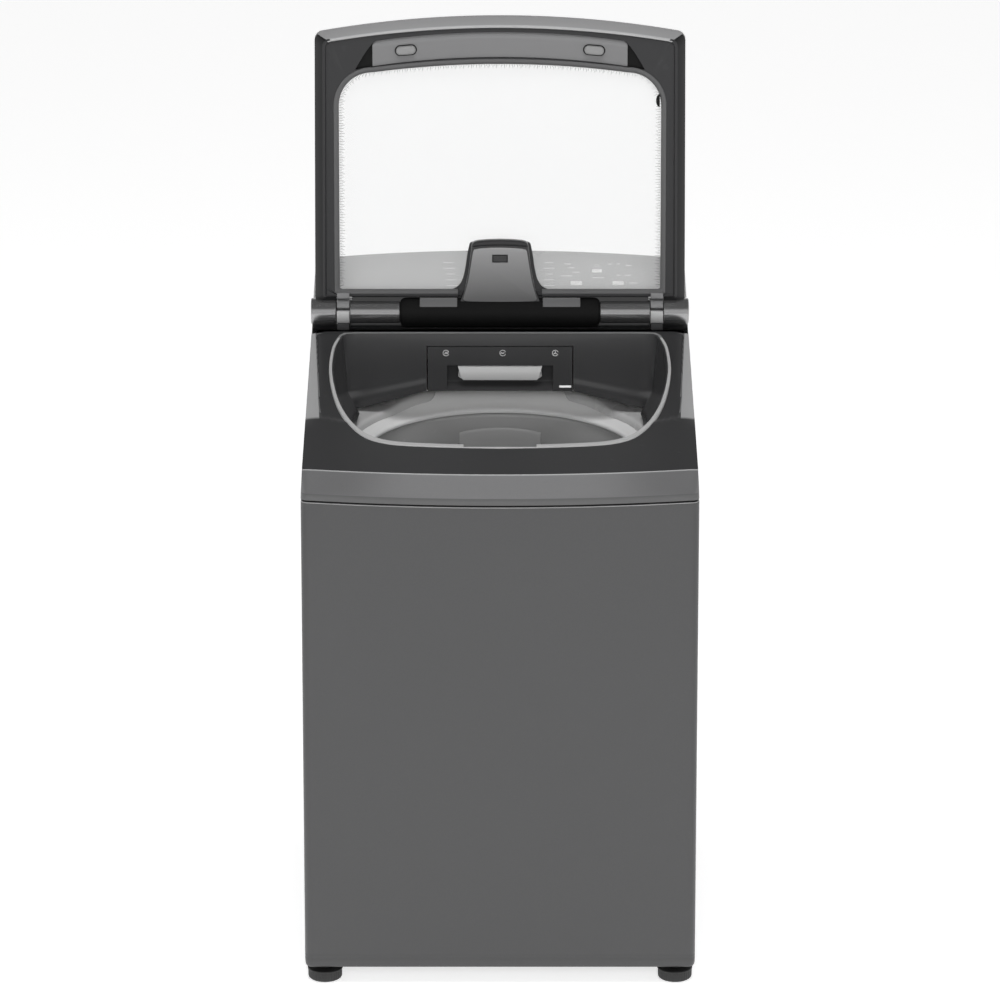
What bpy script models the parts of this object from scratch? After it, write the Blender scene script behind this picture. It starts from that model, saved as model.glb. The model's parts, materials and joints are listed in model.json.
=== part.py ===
"""Top-loading washing machine: steel cabinet, glass lid held open, dispenser drawer, hanging tub.

Metres, +Z up, front towards -Y, origin on the floor under the middle of the cabinet.
The lid is modelled in its own closed frame (x, -u, v): u runs from the hinge to the front edge,
v is up when the lid is shut.  Its empty, lid_hinge, then turns the whole lid to the open stop.
"""
import math

import bmesh
import bpy
from mathutils import Matrix, Vector

# ---------------------------------------------------------------- driving dimensions
WIDTH = 0.630
DEPTH = 0.680
HALF_W = WIDTH / 2
HALF_D = DEPTH / 2
SHEET = 0.0015            # cabinet steel
WALL = 0.003              # console mouldings
GAP = 0.0003              # between pieces that touch

CABINET_LOW = 0.028
SEAM_SIDE = 0.8237        # console meets steel, at the corners and sides
SEAM_DIP = 0.0087         # the seam bows down this much in the middle of the front
STRIP_H = 0.0112          # upright strip above the seam
CORNER_R = 0.013          # upright front corners
SIDE_LEAN = 0.0468        # console sides lean in, per metre of height

DECK_ANGLE = math.radians(11.3)
DECK_FRONT_Y = -0.330
DECK_FRONT_Z = 0.8643
BAND_BOW = 0.0165         # plan bow of the band's upper edge
DECK_BACK_Y = 0.1385      # the hinge trough starts here

HINGE_Y = 0.166
HINGE_Z = 0.982
LID_LEAN = math.radians(5.0)
KNUCKLE_R = 0.022
DRUM_R = 0.026
PIN_R = 0.007
BORE_R = 0.0073

OPENING_BACK_Y = 0.130
WALL_FOOT_Y = 0.122
COLLAR_LOW = 0.832

FASCIA_Y = (0.200, 0.332)
FASCIA_Z = (0.986, 1.032)
FASCIA_T = 0.004

DRAWER_HALF = 0.1195
DRAWER_Z = (0.858, 0.934)
DRAWER_Y = 0.1235

TUB_Y = -0.020
TUB_R = 0.272
RING_R = 0.218
BASKET_R = 0.249
ROD = 0.245               # suspension rods stand at (+-ROD, +-ROD) from the tub's axis
PLATE_Z = (0.168, 0.174)
PULLEY_R = 0.075
MOTOR_AT = (0.100, 0.100)
CORNERS = ((-1, -1), (1, -1), (-1, 1), (1, 1))
CORNER_NAMES = ("front_left", "front_right", "rear_left", "rear_right")
FOOT_AT = ((-0.283, -0.311), (0.283, -0.311), (-0.283, 0.300), (0.283, 0.300))

FINISHES = {
    "panel": ((0.115, 0.115, 0.117), 0.42, 0.3),
    "console": ((0.105, 0.105, 0.107), 0.40, 0.1),
    "gloss_black": ((0.012, 0.012, 0.013), 0.18, 0.0),
    "dark": ((0.035, 0.035, 0.037), 0.35, 0.0),
    "light": ((0.46, 0.46, 0.46), 0.40, 0.0),
    "mid": ((0.20, 0.20, 0.20), 0.40, 0.0),
    "glass": ((0.85, 0.88, 0.88), 0.05, 0.0),
    "rubber": ((0.02, 0.02, 0.02), 0.80, 0.0),
    "steel": ((0.55, 0.55, 0.56), 0.30, 1.0),
    "plastic": ((0.62, 0.62, 0.60), 0.50, 0.0),
    "white": ((0.85, 0.85, 0.85), 0.35, 0.0),
}

for old in list(bpy.data.objects):
    bpy.data.objects.remove(old, do_unlink=True)

parts = bpy.data.collections.new("washing_machine")
cutters = bpy.data.collections.new("cutters")
bpy.context.scene.collection.children.link(parts)
bpy.context.scene.collection.children.link(cutters)


# ---------------------------------------------------------------- helpers
def finish(name):
    """The Principled material called name, made once."""
    found = bpy.data.materials.get(name)
    if found:
        return found
    colour, roughness, metallic = FINISHES[name]
    made = bpy.data.materials.new(name)
    made.use_nodes = True
    shader = made.node_tree.nodes["Principled BSDF"]
    shader.inputs["Base Color"].default_value = (*colour, 1.0)
    shader.inputs["Roughness"].default_value = roughness
    shader.inputs["Metallic"].default_value = metallic
    if name == "glass":
        shader.inputs["Transmission Weight"].default_value = 1.0
    return made


def empty(name, at, tilt=0.0):
    """A parent for the pieces that move on one joint."""
    holder = bpy.data.objects.new(name, None)
    holder.location = at
    holder.rotation_euler = (tilt, 0.0, 0.0)
    parts.objects.link(holder)
    return holder


def place(obj, look, parent=None, at=(0, 0, 0)):
    """Link an object as a part when look is a finish, or as a hidden cutter when it is None."""
    obj.location = at
    obj.parent = parent
    if look is None:
        cutters.objects.link(obj)
        obj.hide_render = True
        obj.display_type = 'WIRE'
    else:
        parts.objects.link(obj)
        obj.data.materials.append(finish(look))
    return obj


def from_bmesh(name, bm, look, parent=None, at=(0, 0, 0)):
    bmesh.ops.recalc_face_normals(bm, faces=bm.faces)
    mesh = bpy.data.meshes.new(name)
    bm.to_mesh(mesh)
    bm.free()
    return place(bpy.data.objects.new(name, mesh), look, parent, at)


def box(name, low, high, look=None, parent=None, bevel=0.0, turn=None):
    """A block between two corners; turn is a Matrix about the block's middle."""
    low, high = Vector(low), Vector(high)
    bm = bmesh.new()
    bmesh.ops.create_cube(bm, size=1.0, matrix=Matrix.Diagonal((*(high - low), 1.0)))
    if bevel:
        bmesh.ops.bevel(bm, geom=bm.edges[:], offset=bevel, segments=2, profile=0.5, affect='EDGES')
    bmesh.ops.transform(bm, matrix=(turn or Matrix()), verts=bm.verts)
    bmesh.ops.translate(bm, vec=(low + high) / 2, verts=bm.verts)
    return from_bmesh(name, bm, look, parent)


def cylinder(name, start, end, radius, look=None, parent=None, sides=32):
    """A cylinder between two points."""
    start, end = Vector(start), Vector(end)
    aim = (end - start).to_track_quat('Z', 'Y').to_matrix().to_4x4()
    bm = bmesh.new()
    bmesh.ops.create_cone(bm, cap_ends=True, segments=sides, radius1=radius, radius2=radius,
                          depth=(end - start).length,
                          matrix=Matrix.Translation((start + end) / 2) @ aim)
    return from_bmesh(name, bm, look, parent)


def prism(name, outline, rise, look=None, parent=None, at=(0, 0, 0)):
    """A flat outline of 3-D points, extruded by the vector rise."""
    bm = bmesh.new()
    face = bm.faces.new([bm.verts.new(point) for point in outline])
    grown = bmesh.ops.extrude_face_region(bm, geom=[face])
    top = [item for item in grown["geom"] if isinstance(item, bmesh.types.BMVert)]
    bmesh.ops.translate(bm, vec=rise, verts=top)
    return from_bmesh(name, bm, look, parent, at)


def turned(name, profile, look=None, parent=None, at=(0, 0, 0), closed=False, steps=40, tilt=0.0):
    """A profile of (radius, height), outer side downwards, turned about the object's own Z."""
    mesh = bpy.data.meshes.new(name)
    count = len(profile)
    edges = [(i, i + 1) for i in range(count - 1)] + ([(count - 1, 0)] if closed else [])
    mesh.from_pydata([(r, 0.0, z) for r, z in profile], edges, [])
    obj = place(bpy.data.objects.new(name, mesh), look, parent, at)
    obj.rotation_euler = (tilt, 0.0, 0.0)
    screw = obj.modifiers.new("Turn", 'SCREW')
    screw.axis = 'Z'
    screw.steps = screw.render_steps = steps
    screw.use_merge_vertices = True
    screw.merge_threshold = 0.00005
    screw.use_smooth_shade = True
    return obj


def tube(name, route, radius, look, parent=None, resolution=2):
    """A round tube through the route's points, as a poly curve with closed ends."""
    curve = bpy.data.curves.new(name, 'CURVE')
    curve.dimensions = '3D'
    curve.bevel_depth = radius
    curve.bevel_resolution = resolution
    curve.use_fill_caps = True
    spline = curve.splines.new('POLY')
    spline.points.add(len(route) - 1)
    for point, place_at in zip(spline.points, route):
        point.co = (*place_at, 1.0)
    return place(bpy.data.objects.new(name, curve), look, parent)


def boolean(obj, tools, operation='DIFFERENCE'):
    for tool in tools:
        step = obj.modifiers.new(operation.title(), 'BOOLEAN')
        step.operation = operation
        step.solver = 'EXACT'
        step.object = tool
    return obj


def bevel(obj, width, segments=2, angle=35.0):
    step = obj.modifiers.new("Bevel", 'BEVEL')
    step.width = width
    step.segments = segments
    step.limit_method = 'ANGLE'
    step.angle_limit = math.radians(angle)
    return obj


def solidify(obj, thickness):
    step = obj.modifiers.new("Shell", 'SOLIDIFY')
    step.thickness = thickness
    step.offset = -1.0
    step.use_even_offset = True
    return obj


def arc(centre, radius, start, end, count):
    """Points on an arc in degrees, both ends included."""
    angles = [math.radians(start + (end - start) * i / count) for i in range(count + 1)]
    return [(centre[0] + radius * math.cos(a), centre[1] + radius * math.sin(a)) for a in angles]


def rounded_box(half_x, low_y, high_y, radius, count=4):
    """Plan outline of a box about x = 0 with round corners."""
    line = []
    for x, y, start in ((half_x, high_y, 0), (-half_x, high_y, 90), (-half_x, low_y, 180),
                        (half_x, low_y, 270)):
        line += arc((x - math.copysign(radius, x), y - math.copysign(radius, y)), radius,
                    start, start + 90, count)
    return line


def smooth(points, per_span=4):
    """A Catmull-Rom line through the points, both ends included."""
    line = []
    last = len(points) - 1
    for i in range(last):
        p0, p1, p2, p3 = (Vector(points[max(0, min(last, i + k))]) for k in (-1, 0, 1, 2))
        for step in range(per_span):
            t = step / per_span
            line.append(tuple(0.5 * (2 * p1 + (p2 - p0) * t + (2 * p0 - 5 * p1 + 4 * p2 - p3) * t * t
                                     + (3 * p1 - p0 - 3 * p2 + p3) * t ** 3)))
    return line + [tuple(points[-1])]


def mirrored(half):
    """Close an outline whose first and last points lie on x = 0."""
    return half + [(-x, y) for x, y in reversed(half[1:-1])]


def ease(t):
    t = max(0.0, min(1.0, t))
    return t * t * (3 - 2 * t)


def deck_z(y):
    return DECK_FRONT_Z + (y - DECK_FRONT_Y) * math.tan(DECK_ANGLE)


def seam_z(x, y):
    """Height of the seam: it dips only across the front."""
    if y > -HALF_D + CORNER_R:
        return SEAM_SIDE
    return SEAM_SIDE - SEAM_DIP * (1 - min(1.0, abs(x) / (HALF_W - CORNER_R)) ** 2)


def side_x(z):
    return HALF_W - SIDE_LEAN * max(0.0, z - SEAM_SIDE)


def front_path(spans=14):
    """Plan outline of the front: corner arcs and the straight between them, left to right."""
    inner_x, inner_y = HALF_W - CORNER_R, -HALF_D + CORNER_R
    left = arc((-inner_x, inner_y), CORNER_R, 180, 270, 5)
    right = arc((inner_x, inner_y), CORNER_R, 270, 360, 5)
    straight = [(-inner_x + 2 * inner_x * i / spans, -HALF_D) for i in range(1, spans)]
    return left + straight + right


# ---------------------------------------------------------------- cabinet and base
def wall_strip(name, path, low, high, thickness, look):
    """An upright sheet along a plan path that runs anticlockwise, so it faces out."""
    bm = bmesh.new()
    rows = [[bm.verts.new((x, y, z(x, y))) for x, y in path] for z in (low, high)]
    for i in range(len(path) - 1):
        bm.faces.new((rows[0][i], rows[0][i + 1], rows[1][i + 1], rows[1][i]))
    mesh = bpy.data.meshes.new(name)
    bm.to_mesh(mesh)
    bm.free()
    return solidify(place(bpy.data.objects.new(name, mesh), look), thickness)


def make_cabinet():
    flange = [(-0.288, HALF_D - 0.002), (-HALF_W + 0.004, HALF_D - 0.002), (-HALF_W, HALF_D - 0.006)]
    path = flange + front_path() + [(-x, y) for x, y in reversed(flange)]
    wall_strip("cabinet_shell", path, lambda x, y: CABINET_LOW,
               lambda x, y: seam_z(x, y) - 2 * GAP, SHEET, "panel")
    rear = box("rear_panel", (-0.305, 0.3345, 0.070), (0.305, 0.3361, 0.830), "panel")
    boolean(rear, [cylinder("drain_cut", (-0.180, 0.32, 0.110), (-0.180, 0.35, 0.110), 0.0155),
                   cylinder("gland_cut", (0.200, 0.32, 0.700), (0.200, 0.35, 0.700), 0.0095)])
    base = prism("base_frame", [(x, y, 0.046) for x, y in rounded_box(0.3125, -0.3375, 0.3335, 0.0125)],
                 (0, 0, 0.016), "dark")
    holes = [box("base_cut", (-0.235, -0.255, 0.0), (0.235, 0.115, 0.1))]
    holes += [cylinder(f"foot_cut_{i}", (x, y, 0.0), (x, y, 0.1), 0.0058, sides=12)
              for i, (x, y) in enumerate(FOOT_AT)]
    boolean(base, holes)


def make_feet():
    profile = [(0.0, 0.058), (0.005, 0.058), (0.005, 0.0455), (0.013, 0.0455), (0.013, 0.0205),
               (0.0265, 0.0195), (0.0285, 0.0165), (0.0285, 0.004), (0.0265, 0.0), (0.0, 0.0)]
    for (x, y), corner in zip(FOOT_AT, CORNER_NAMES):
        turned(f"foot_{corner}", profile, "rubber", at=(x, y, 0.0), steps=18)


# ---------------------------------------------------------------- top console
def opening_half():
    """Right half of the opening's plan outline, from front centre to rear centre."""
    points = [(0.0, -0.247), (0.110, -0.242), (0.185, -0.230), (0.228, -0.194), (0.260, -0.116),
              (0.276, -0.010), (0.274, 0.075), (0.263, 0.121)]
    back = [(0.255, OPENING_BACK_Y - 0.001), (0.235, OPENING_BACK_Y), (0.0, OPENING_BACK_Y)]
    return smooth(points, 3) + back


def opening(narrow=0.0, front=0.0, rear=0.0):
    """Opening outline drawn in by narrow at the sides and front and rear at its ends."""
    wide, low, high = 0.277, -0.247, OPENING_BACK_Y
    k = (high - rear - low - front) / (high - low)
    return mirrored([(x * (1 - narrow / wide), low + front + (y - low) * k) for x, y in opening_half()])


def on_deck(outline, lift):
    return [(x, y, deck_z(y) + lift) for x, y in outline]


def make_top_console():
    """Front band, sides and sloping deck in one shell, open below and behind."""
    path = [(-HALF_W, DECK_BACK_Y)] + front_path() + [(HALF_W, DECK_BACK_Y)]
    inner_x = HALF_W - CORNER_R
    low, mid, top = [], [], []
    for x, y in path:
        z = seam_z(x, y)
        low.append((x, y, z))
        mid.append((x * side_x(z + STRIP_H) / HALF_W, y, z + STRIP_H))
        forward = max(0.0, 1 - (y + HALF_D) / CORNER_R)
        edge_y = DECK_FRONT_Y + BAND_BOW * min(1.0, abs(x) / inner_x) ** 2
        new_y = max(edge_y, y + (edge_y + HALF_D) * forward)
        new_z = deck_z(new_y)
        top.append((x * side_x(new_z) / HALF_W, new_y, new_z))
    bm = bmesh.new()
    rows = [[bm.verts.new(p) for p in row] for row in (low, mid, top)]
    for lower, upper in zip(rows, rows[1:]):
        for i in range(len(path) - 1):
            bm.faces.new((lower[i], lower[i + 1], upper[i + 1], upper[i]))
    bm.faces.new(rows[2])
    mesh = bpy.data.meshes.new("top_console")
    bm.to_mesh(mesh)
    bm.free()
    console = solidify(place(bpy.data.objects.new("top_console", mesh), "console"), WALL)
    hole = on_deck(opening(narrow=-GAP, front=-GAP, rear=-GAP), -0.05)
    boolean(console, [prism("opening_cut", hole, (0, 0, 0.1))])


def make_rim():
    rim = prism("opening_rim", on_deck(opening(), -0.006), (0, 0, 0.0066), "light")
    inner = on_deck(opening(narrow=0.0045, front=0.0100, rear=0.0030), -0.02)
    notch = prism("finger_notch_cut", [(-0.058, -0.2445, deck_z(-0.2445) - 0.0045),
                                       (0.058, -0.2445, deck_z(-0.2445) - 0.0045),
                                       (0.058, -0.2300, deck_z(-0.2300) - 0.0045),
                                       (-0.058, -0.2300, deck_z(-0.2300) - 0.0045)], (0, 0, 0.02))
    boolean(rim, [prism("rim_cut", inner, (0, 0, 0.04)), notch])


def make_collar():
    """Wall of the opening: a loft from the rim's outline down to the tub, higher at the back."""
    top = opening(narrow=0.0050, front=0.0105, rear=0.0032)
    levels = 3
    bm = bmesh.new()
    rows = []
    for level in range(levels + 1):
        t = level / levels
        row = []
        for x, y in top:
            back = ease((y - 0.085) / 0.035)
            foot_x = x * (0.885 + 0.075 * back)
            foot_y = y * (1 - back) * 0.975 + WALL_FOOT_Y * back - 0.004 * (1 - back)
            foot_z = COLLAR_LOW + 0.0235 * back * (1 - ease((abs(x) - 0.130) / 0.090))
            start = deck_z(y) - 0.0064
            draw = t * t * (1 - back) + t * back
            row.append(bm.verts.new((x + (foot_x - x) * draw, y + (foot_y - y) * draw,
                                     start + (foot_z - start) * t)))
        rows.append(row)
    count = len(top)
    for upper, lower in zip(rows, rows[1:]):
        for i in range(count):
            j = (i + 1) % count
            bm.faces.new((upper[i], lower[i], lower[j], upper[j]))
    mesh = bpy.data.meshes.new("opening_collar")
    bm.to_mesh(mesh)
    bm.free()
    collar = solidify(place(bpy.data.objects.new("opening_collar", mesh), "gloss_black"), 0.0022)
    boolean(collar, [box("drawer_mouth_cut", (-DRAWER_HALF - 0.0006, 0.10, DRAWER_Z[0] - 0.006),
                         (DRAWER_HALF + 0.0006, 0.16, DRAWER_Z[1] + 0.0006))])


def fascia_z(y):
    return FASCIA_Z[0] + (y - FASCIA_Y[0]) * (FASCIA_Z[1] - FASCIA_Z[0]) / (FASCIA_Y[1] - FASCIA_Y[0])


def console_back_y(x):
    return FASCIA_Y[1] - 0.020 * (abs(x) / 0.305) ** 2


def make_rear_console():
    """Hinge trough, sloping control housing and rear wall, open below."""
    front = DECK_BACK_Y + 2 * GAP
    stations = 12
    bm = bmesh.new()
    rows = []
    for i in range(stations + 1):
        part = -1 + 2 * i / stations
        back = console_back_y(part * 0.305)
        profile = [(front, SEAM_SIDE), (front, 0.9435), (0.1960, 0.9435),
                   (FASCIA_Y[0], FASCIA_Z[0]), (back, fascia_z(back)), (HALF_D, fascia_z(back) - 0.012),
                   (HALF_D, SEAM_SIDE)]
        rows.append([bm.verts.new((part * side_x(z), y, z)) for y, z in profile])
    for near, far in zip(rows, rows[1:]):
        for k in range(len(near) - 1):
            bm.faces.new((near[k], far[k], far[k + 1], near[k + 1]))
    bm.faces.new(list(reversed(rows[-1])))
    bm.faces.new(rows[0])
    bmesh.ops.recalc_face_normals(bm, faces=bm.faces)
    mesh = bpy.data.meshes.new("rear_console")
    bm.to_mesh(mesh)
    bm.free()
    console = solidify(place(bpy.data.objects.new("rear_console", mesh), "console"), WALL)
    boolean(console, [box("trough_front_cut", (-0.250, 0.130, 0.80), (0.250, 0.145, 0.9392))])
    boolean(console, [cylinder(f"inlet_cut_{i}", (x, 0.32, 0.885), (x, 0.35, 0.885), 0.0135)
                      for i, x in enumerate((0.205, 0.245))])


# ---------------------------------------------------------------- control panel
BUTTONS = {
    "power_button": (0.126, 0.047, 0.0095, 0.0048),
    "start_button": (0.195, 0.047, 0.0095, 0.0048),
    "program_button": (0.1605, 0.080, 0.0085, 0.0042),
}


def make_controls():
    slope = math.atan2(FASCIA_Z[1] - FASCIA_Z[0], FASCIA_Y[1] - FASCIA_Y[0])
    panel = empty("control_panel", (0.0, FASCIA_Y[0], FASCIA_Z[0]), slope)
    corner = 0.016
    edge = 0.286
    near = 0.008
    far = [((console_back_y(x) - FASCIA_Y[0]) / math.cos(slope) - 0.007) for x in (edge, 0.0)]
    half = [(0.0, near), (edge - corner, near)] + arc((edge - corner, near + corner), corner, -75, 0, 4)
    half += arc((edge - corner, far[0] - corner), corner, 0, 78, 4)
    half += [(edge * t, far[1] + (far[0] - far[1]) * t * t) for t in (0.80, 0.6, 0.4, 0.2, 0.0)]
    fascia = prism("control_fascia", [(x, s, GAP) for x, s in mirrored(half)],
                   (0, 0, FASCIA_T), "mid", panel)
    holes = []
    for name, (x, s, half_x, half_s) in BUTTONS.items():
        low = (-half_x, -half_s, -0.0012)
        high = (half_x, half_s, 0.0020)
        pad = box(name, low, high, "white", panel, bevel=0.0008)
        pad.location = (x, s, 0.0031)
        holes.append(box(f"{name}_cut", (x - half_x - 0.0004, s - half_s - 0.0004, -0.01),
                         (x + half_x + 0.0004, s + half_s + 0.0004, 0.02), None, panel))
    boolean(fascia, holes)


# ---------------------------------------------------------------- lid, in its own closed frame
LID_V = (-0.014, 0.010)


def lid_outer(inset=0.0, back=0.0065):
    """Right half of the lid's plan outline from rear centre to front centre, as (x, -u)."""
    edge, corner = 0.300 - inset, 0.028 - inset * 0.6
    tip = 0.4900 - inset
    rear = [(0.0, -back), (edge, -back)]
    side_x_front = edge - 0.004
    bow = [(x, -(tip - 0.026 * (x / 0.296) ** 2)) for x in
           [(side_x_front - corner) * t for t in (1.0, 0.8, 0.6, 0.4, 0.2, 0.0)]]
    pivot = (side_x_front - corner, bow[0][1] + corner)
    return rear + arc(pivot, corner, 0, -74, 5) + bow


def glass_half(grow=0.0):
    """Right half of the glass opening's outline, as (x, -u)."""
    edge, corner = 0.2665 + grow, 0.050 + grow
    rear, tip = 0.0345 - grow, 0.4200 + grow
    line = [(0.0, -rear), (edge, -rear)]
    pivot = (edge - corner, -(tip - 0.014 - corner))
    top = [(x, -(tip - 0.014 * (x / (edge - corner)) ** 2)) for x in
           [(edge - corner) * t for t in (0.8, 0.6, 0.4, 0.2, 0.0)]]
    return line + arc(pivot, corner, 0, -90, 7) + top


def flat(outline, v):
    return [(x, y, v) for x, y in outline]


def make_lid():
    lid = empty("lid_hinge", (0.0, HINGE_Y, HINGE_Z), -math.pi / 2 - LID_LEAN)
    low, high = LID_V

    frame = prism("lid_frame", flat(mirrored(lid_outer()), low), (0, 0, high - low), "gloss_black", lid)
    bevel(frame, 0.0035, 2, 50)
    tools = [prism("lid_opening_cut", flat(mirrored(glass_half()), -0.05), (0, 0, 0.1), None, lid),
             prism("lid_rebate_cut", flat(mirrored(glass_half(0.008)), 0.0050), (0, 0, 0.02), None, lid),
             prism("lid_hollow_cut", flat(mirrored(lid_outer(0.0075, 0.0290)), -0.05), (0, 0, 0.043),
                   None, lid),
             box("lid_back_cut", (-0.2680, -0.0268, -0.05), (0.2680, 0.05, 0.05), None, lid)]
    knuckles = []
    for side in (-1, 1):
        ends = sorted((side * 0.2705, side * 0.3100))
        knuckles.append(cylinder(f"lid_knuckle_{ends[0]:.2f}", (ends[0], 0, 0), (ends[1], 0, 0),
                                 KNUCKLE_R, None, lid))
        tools.append(cylinder(f"lid_bore_cut_{ends[0]:.2f}", (side * 0.255, 0, 0), (side * 0.3030, 0, 0),
                              BORE_R, None, lid))
    nose_room = box("nose_room_cut", (-0.0690, -0.0400, -0.05), (0.0690, 0.0, -0.0016), None, lid)
    boolean(frame, knuckles, 'UNION')
    boolean(frame, tools + [nose_room])

    prism("lid_glass", flat(mirrored(glass_half(0.0076)), 0.0053), (0, 0, 0.0042), "glass", lid)
    gasket = prism("lid_gasket", flat(mirrored(glass_half(0.0045)), -0.0092), (0, 0, 0.0019), "mid", lid)
    gasket_cut = prism("gasket_cut", flat(mirrored(glass_half(-0.0005)), -0.05), (0, 0, 0.1), None, lid)
    boolean(gasket, [nose_room, gasket_cut])

    plate = [(0.0, -0.4290)] + [(x, -(0.4290 - 0.016 * (x / 0.212) ** 2)) for x in (0.07, 0.14, 0.205)]
    plate += [(x, -(0.4790 - 0.026 * (x / 0.296) ** 2)) for x in (0.216, 0.144, 0.072, 0.0)]
    prism("lid_handle_plate", flat(mirrored(plate), -0.0098), (0, 0, 0.0025), "mid", lid)

    for side, name in ((-1, "left"), (1, "right")):
        ends = arc((side * 0.153 + 0.0095, -0.4440), 0.0075, -90, 90, 6)
        ends += arc((side * 0.153 - 0.0095, -0.4440), 0.0075, 90, 270, 6)
        prism(f"lid_bumper_{name}", flat(ends, -0.0160), (0, 0, 0.0059), "rubber", lid)
    make_rear_bar(lid)


def make_rear_bar(lid):
    """The bar that turns on the pins, its central drum, and the nose that hangs under the glass."""
    bar = cylinder("lid_rear_bar", (-0.2440, 0, 0), (0.2440, 0, 0), 0.020, "gloss_black", lid)
    web = box("bar_web", (-0.2425, -0.0264, -0.0075), (0.2425, 0.0, 0.0085), None, lid)
    drum = cylinder("bar_drum", (-0.164, 0, 0), (0.164, 0, 0), DRUM_R, None, lid)
    tip = [(0.0, -0.1225), (0.022, -0.1215), (0.042, -0.1185)]
    flank = smooth([(0.0465, -0.113), (0.0500, -0.085), (0.0560, -0.050), (0.0660, -0.020)], 3)
    nose = prism("bar_nose", flat(mirrored(tip + flank + [(0.066, 0.0), (0.0, 0.0)]), -0.0185),
                 (0, 0, 0.0165), None, lid)
    chamfer = box("nose_chamfer_cut", (-0.08, -0.150, -0.0400), (0.08, -0.100, -0.0200), None, lid,
                  turn=Matrix.Rotation(math.radians(-38), 4, 'X'))
    pocket = box("nose_pocket_cut", (-0.0135, -0.0905, -0.03), (0.0135, -0.0765, -0.0110), None, lid)
    heel = box("nose_heel_cut", (-0.08, -0.0450, -0.05), (0.08, 0.01, -0.0162), None, lid)
    boolean(nose, [chamfer, pocket, heel])
    bores = [cylinder(f"bar_bore_cut_{side}", (side * 0.197, 0, 0), (side * 0.260, 0, 0), BORE_R,
                      None, lid) for side in (-1, 1)]
    boolean(bar, [drum, web, nose], 'UNION')
    boolean(bar, bores)


def make_hinges():
    """Two ears that stand in the trough and carry the lid's pins."""
    ear = [(0.0240, -0.0382), (0.0240, -0.008)] + arc((0.0, 0.0), 0.0235, -10, 190, 14)
    ear += [(-0.0205, -0.012), (-0.0205, -0.0382)]
    for side, name in ((-1, "left"), (1, "right")):
        start = min(side * 0.2480, side * 0.2670)
        outline = [(start, HINGE_Y + y, HINGE_Z + z) for y, z in ear]
        bracket = prism(f"hinge_bracket_{name}", outline, (0.019, 0, 0), "mid")
        ends = [(side * x, HINGE_Y, HINGE_Z) for x in (0.2, 0.3)]
        boolean(bracket, [cylinder(f"bracket_bore_cut_{name}", *ends, BORE_R)])
        cylinder(f"hinge_pin_{name}", (side * 0.2000, HINGE_Y, HINGE_Z),
                 (side * 0.3000, HINGE_Y, HINGE_Z), PIN_R, "steel")


# ---------------------------------------------------------------- dispenser
def make_dispenser():
    low, high = DRAWER_Z
    half = DRAWER_HALF
    housing = box("dispenser_housing", (-0.1320, 0.1335, 0.8545), (0.1320, 0.3000, 0.9385), "plastic")
    boolean(housing, [box("housing_cut", (-0.1295, 0.10, 0.8570), (0.1295, 0.2975, 0.9365)),
                      box("housing_spout_cut", (-0.060, 0.200, 0.80), (0.060, 0.240, 0.87)),
                      cylinder("housing_inlet_cut", (0.12, 0.250, 0.905), (0.14, 0.250, 0.905), 0.0075)])
    slide = empty("drawer_slide", (0.0, DRAWER_Y, (low + high) / 2))
    tall = (high - low) / 2
    front = box("drawer_front", (-half, 0.0, -tall), (half, 0.0225, tall), "gloss_black", slide)
    pocket = box("drawer_pocket_cut", (-0.0890, -0.01, -tall - 0.01), (0.0890, 0.0200, 0.0050), None, slide)
    inside = box("drawer_back_cut", (-half + 0.004, 0.0225, -tall), (half - 0.004, 0.06, tall), None, slide)
    boolean(front, [pocket, inside])
    lip = [(-0.0040, 0.0045), (0.0140, 0.0045), (0.0140, 0.0015), (0.0008, -0.0190), (-0.0040, -0.0190)]
    prism("drawer_grip", [(-0.0690, 0.0055 + y, -0.0008 + z) for y, z in lip], (0.138, 0, 0), "mid", slide)
    tray = box("dispenser_drawer", (-half + 0.003, 0.0229, -tall + 0.004),
               (half - 0.003, 0.1690, tall - 0.008), "plastic", slide)
    cells = [(-half + 0.0055, -0.030), (-0.0275, 0.0500), (0.0525, half - 0.0055)]
    boolean(tray, [box(f"drawer_cell_cut_{i}", (x0, 0.0254, -tall + 0.0065), (x1, 0.1665, 0.1), None, slide)
                   for i, (x0, x1) in enumerate(cells)])


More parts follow.
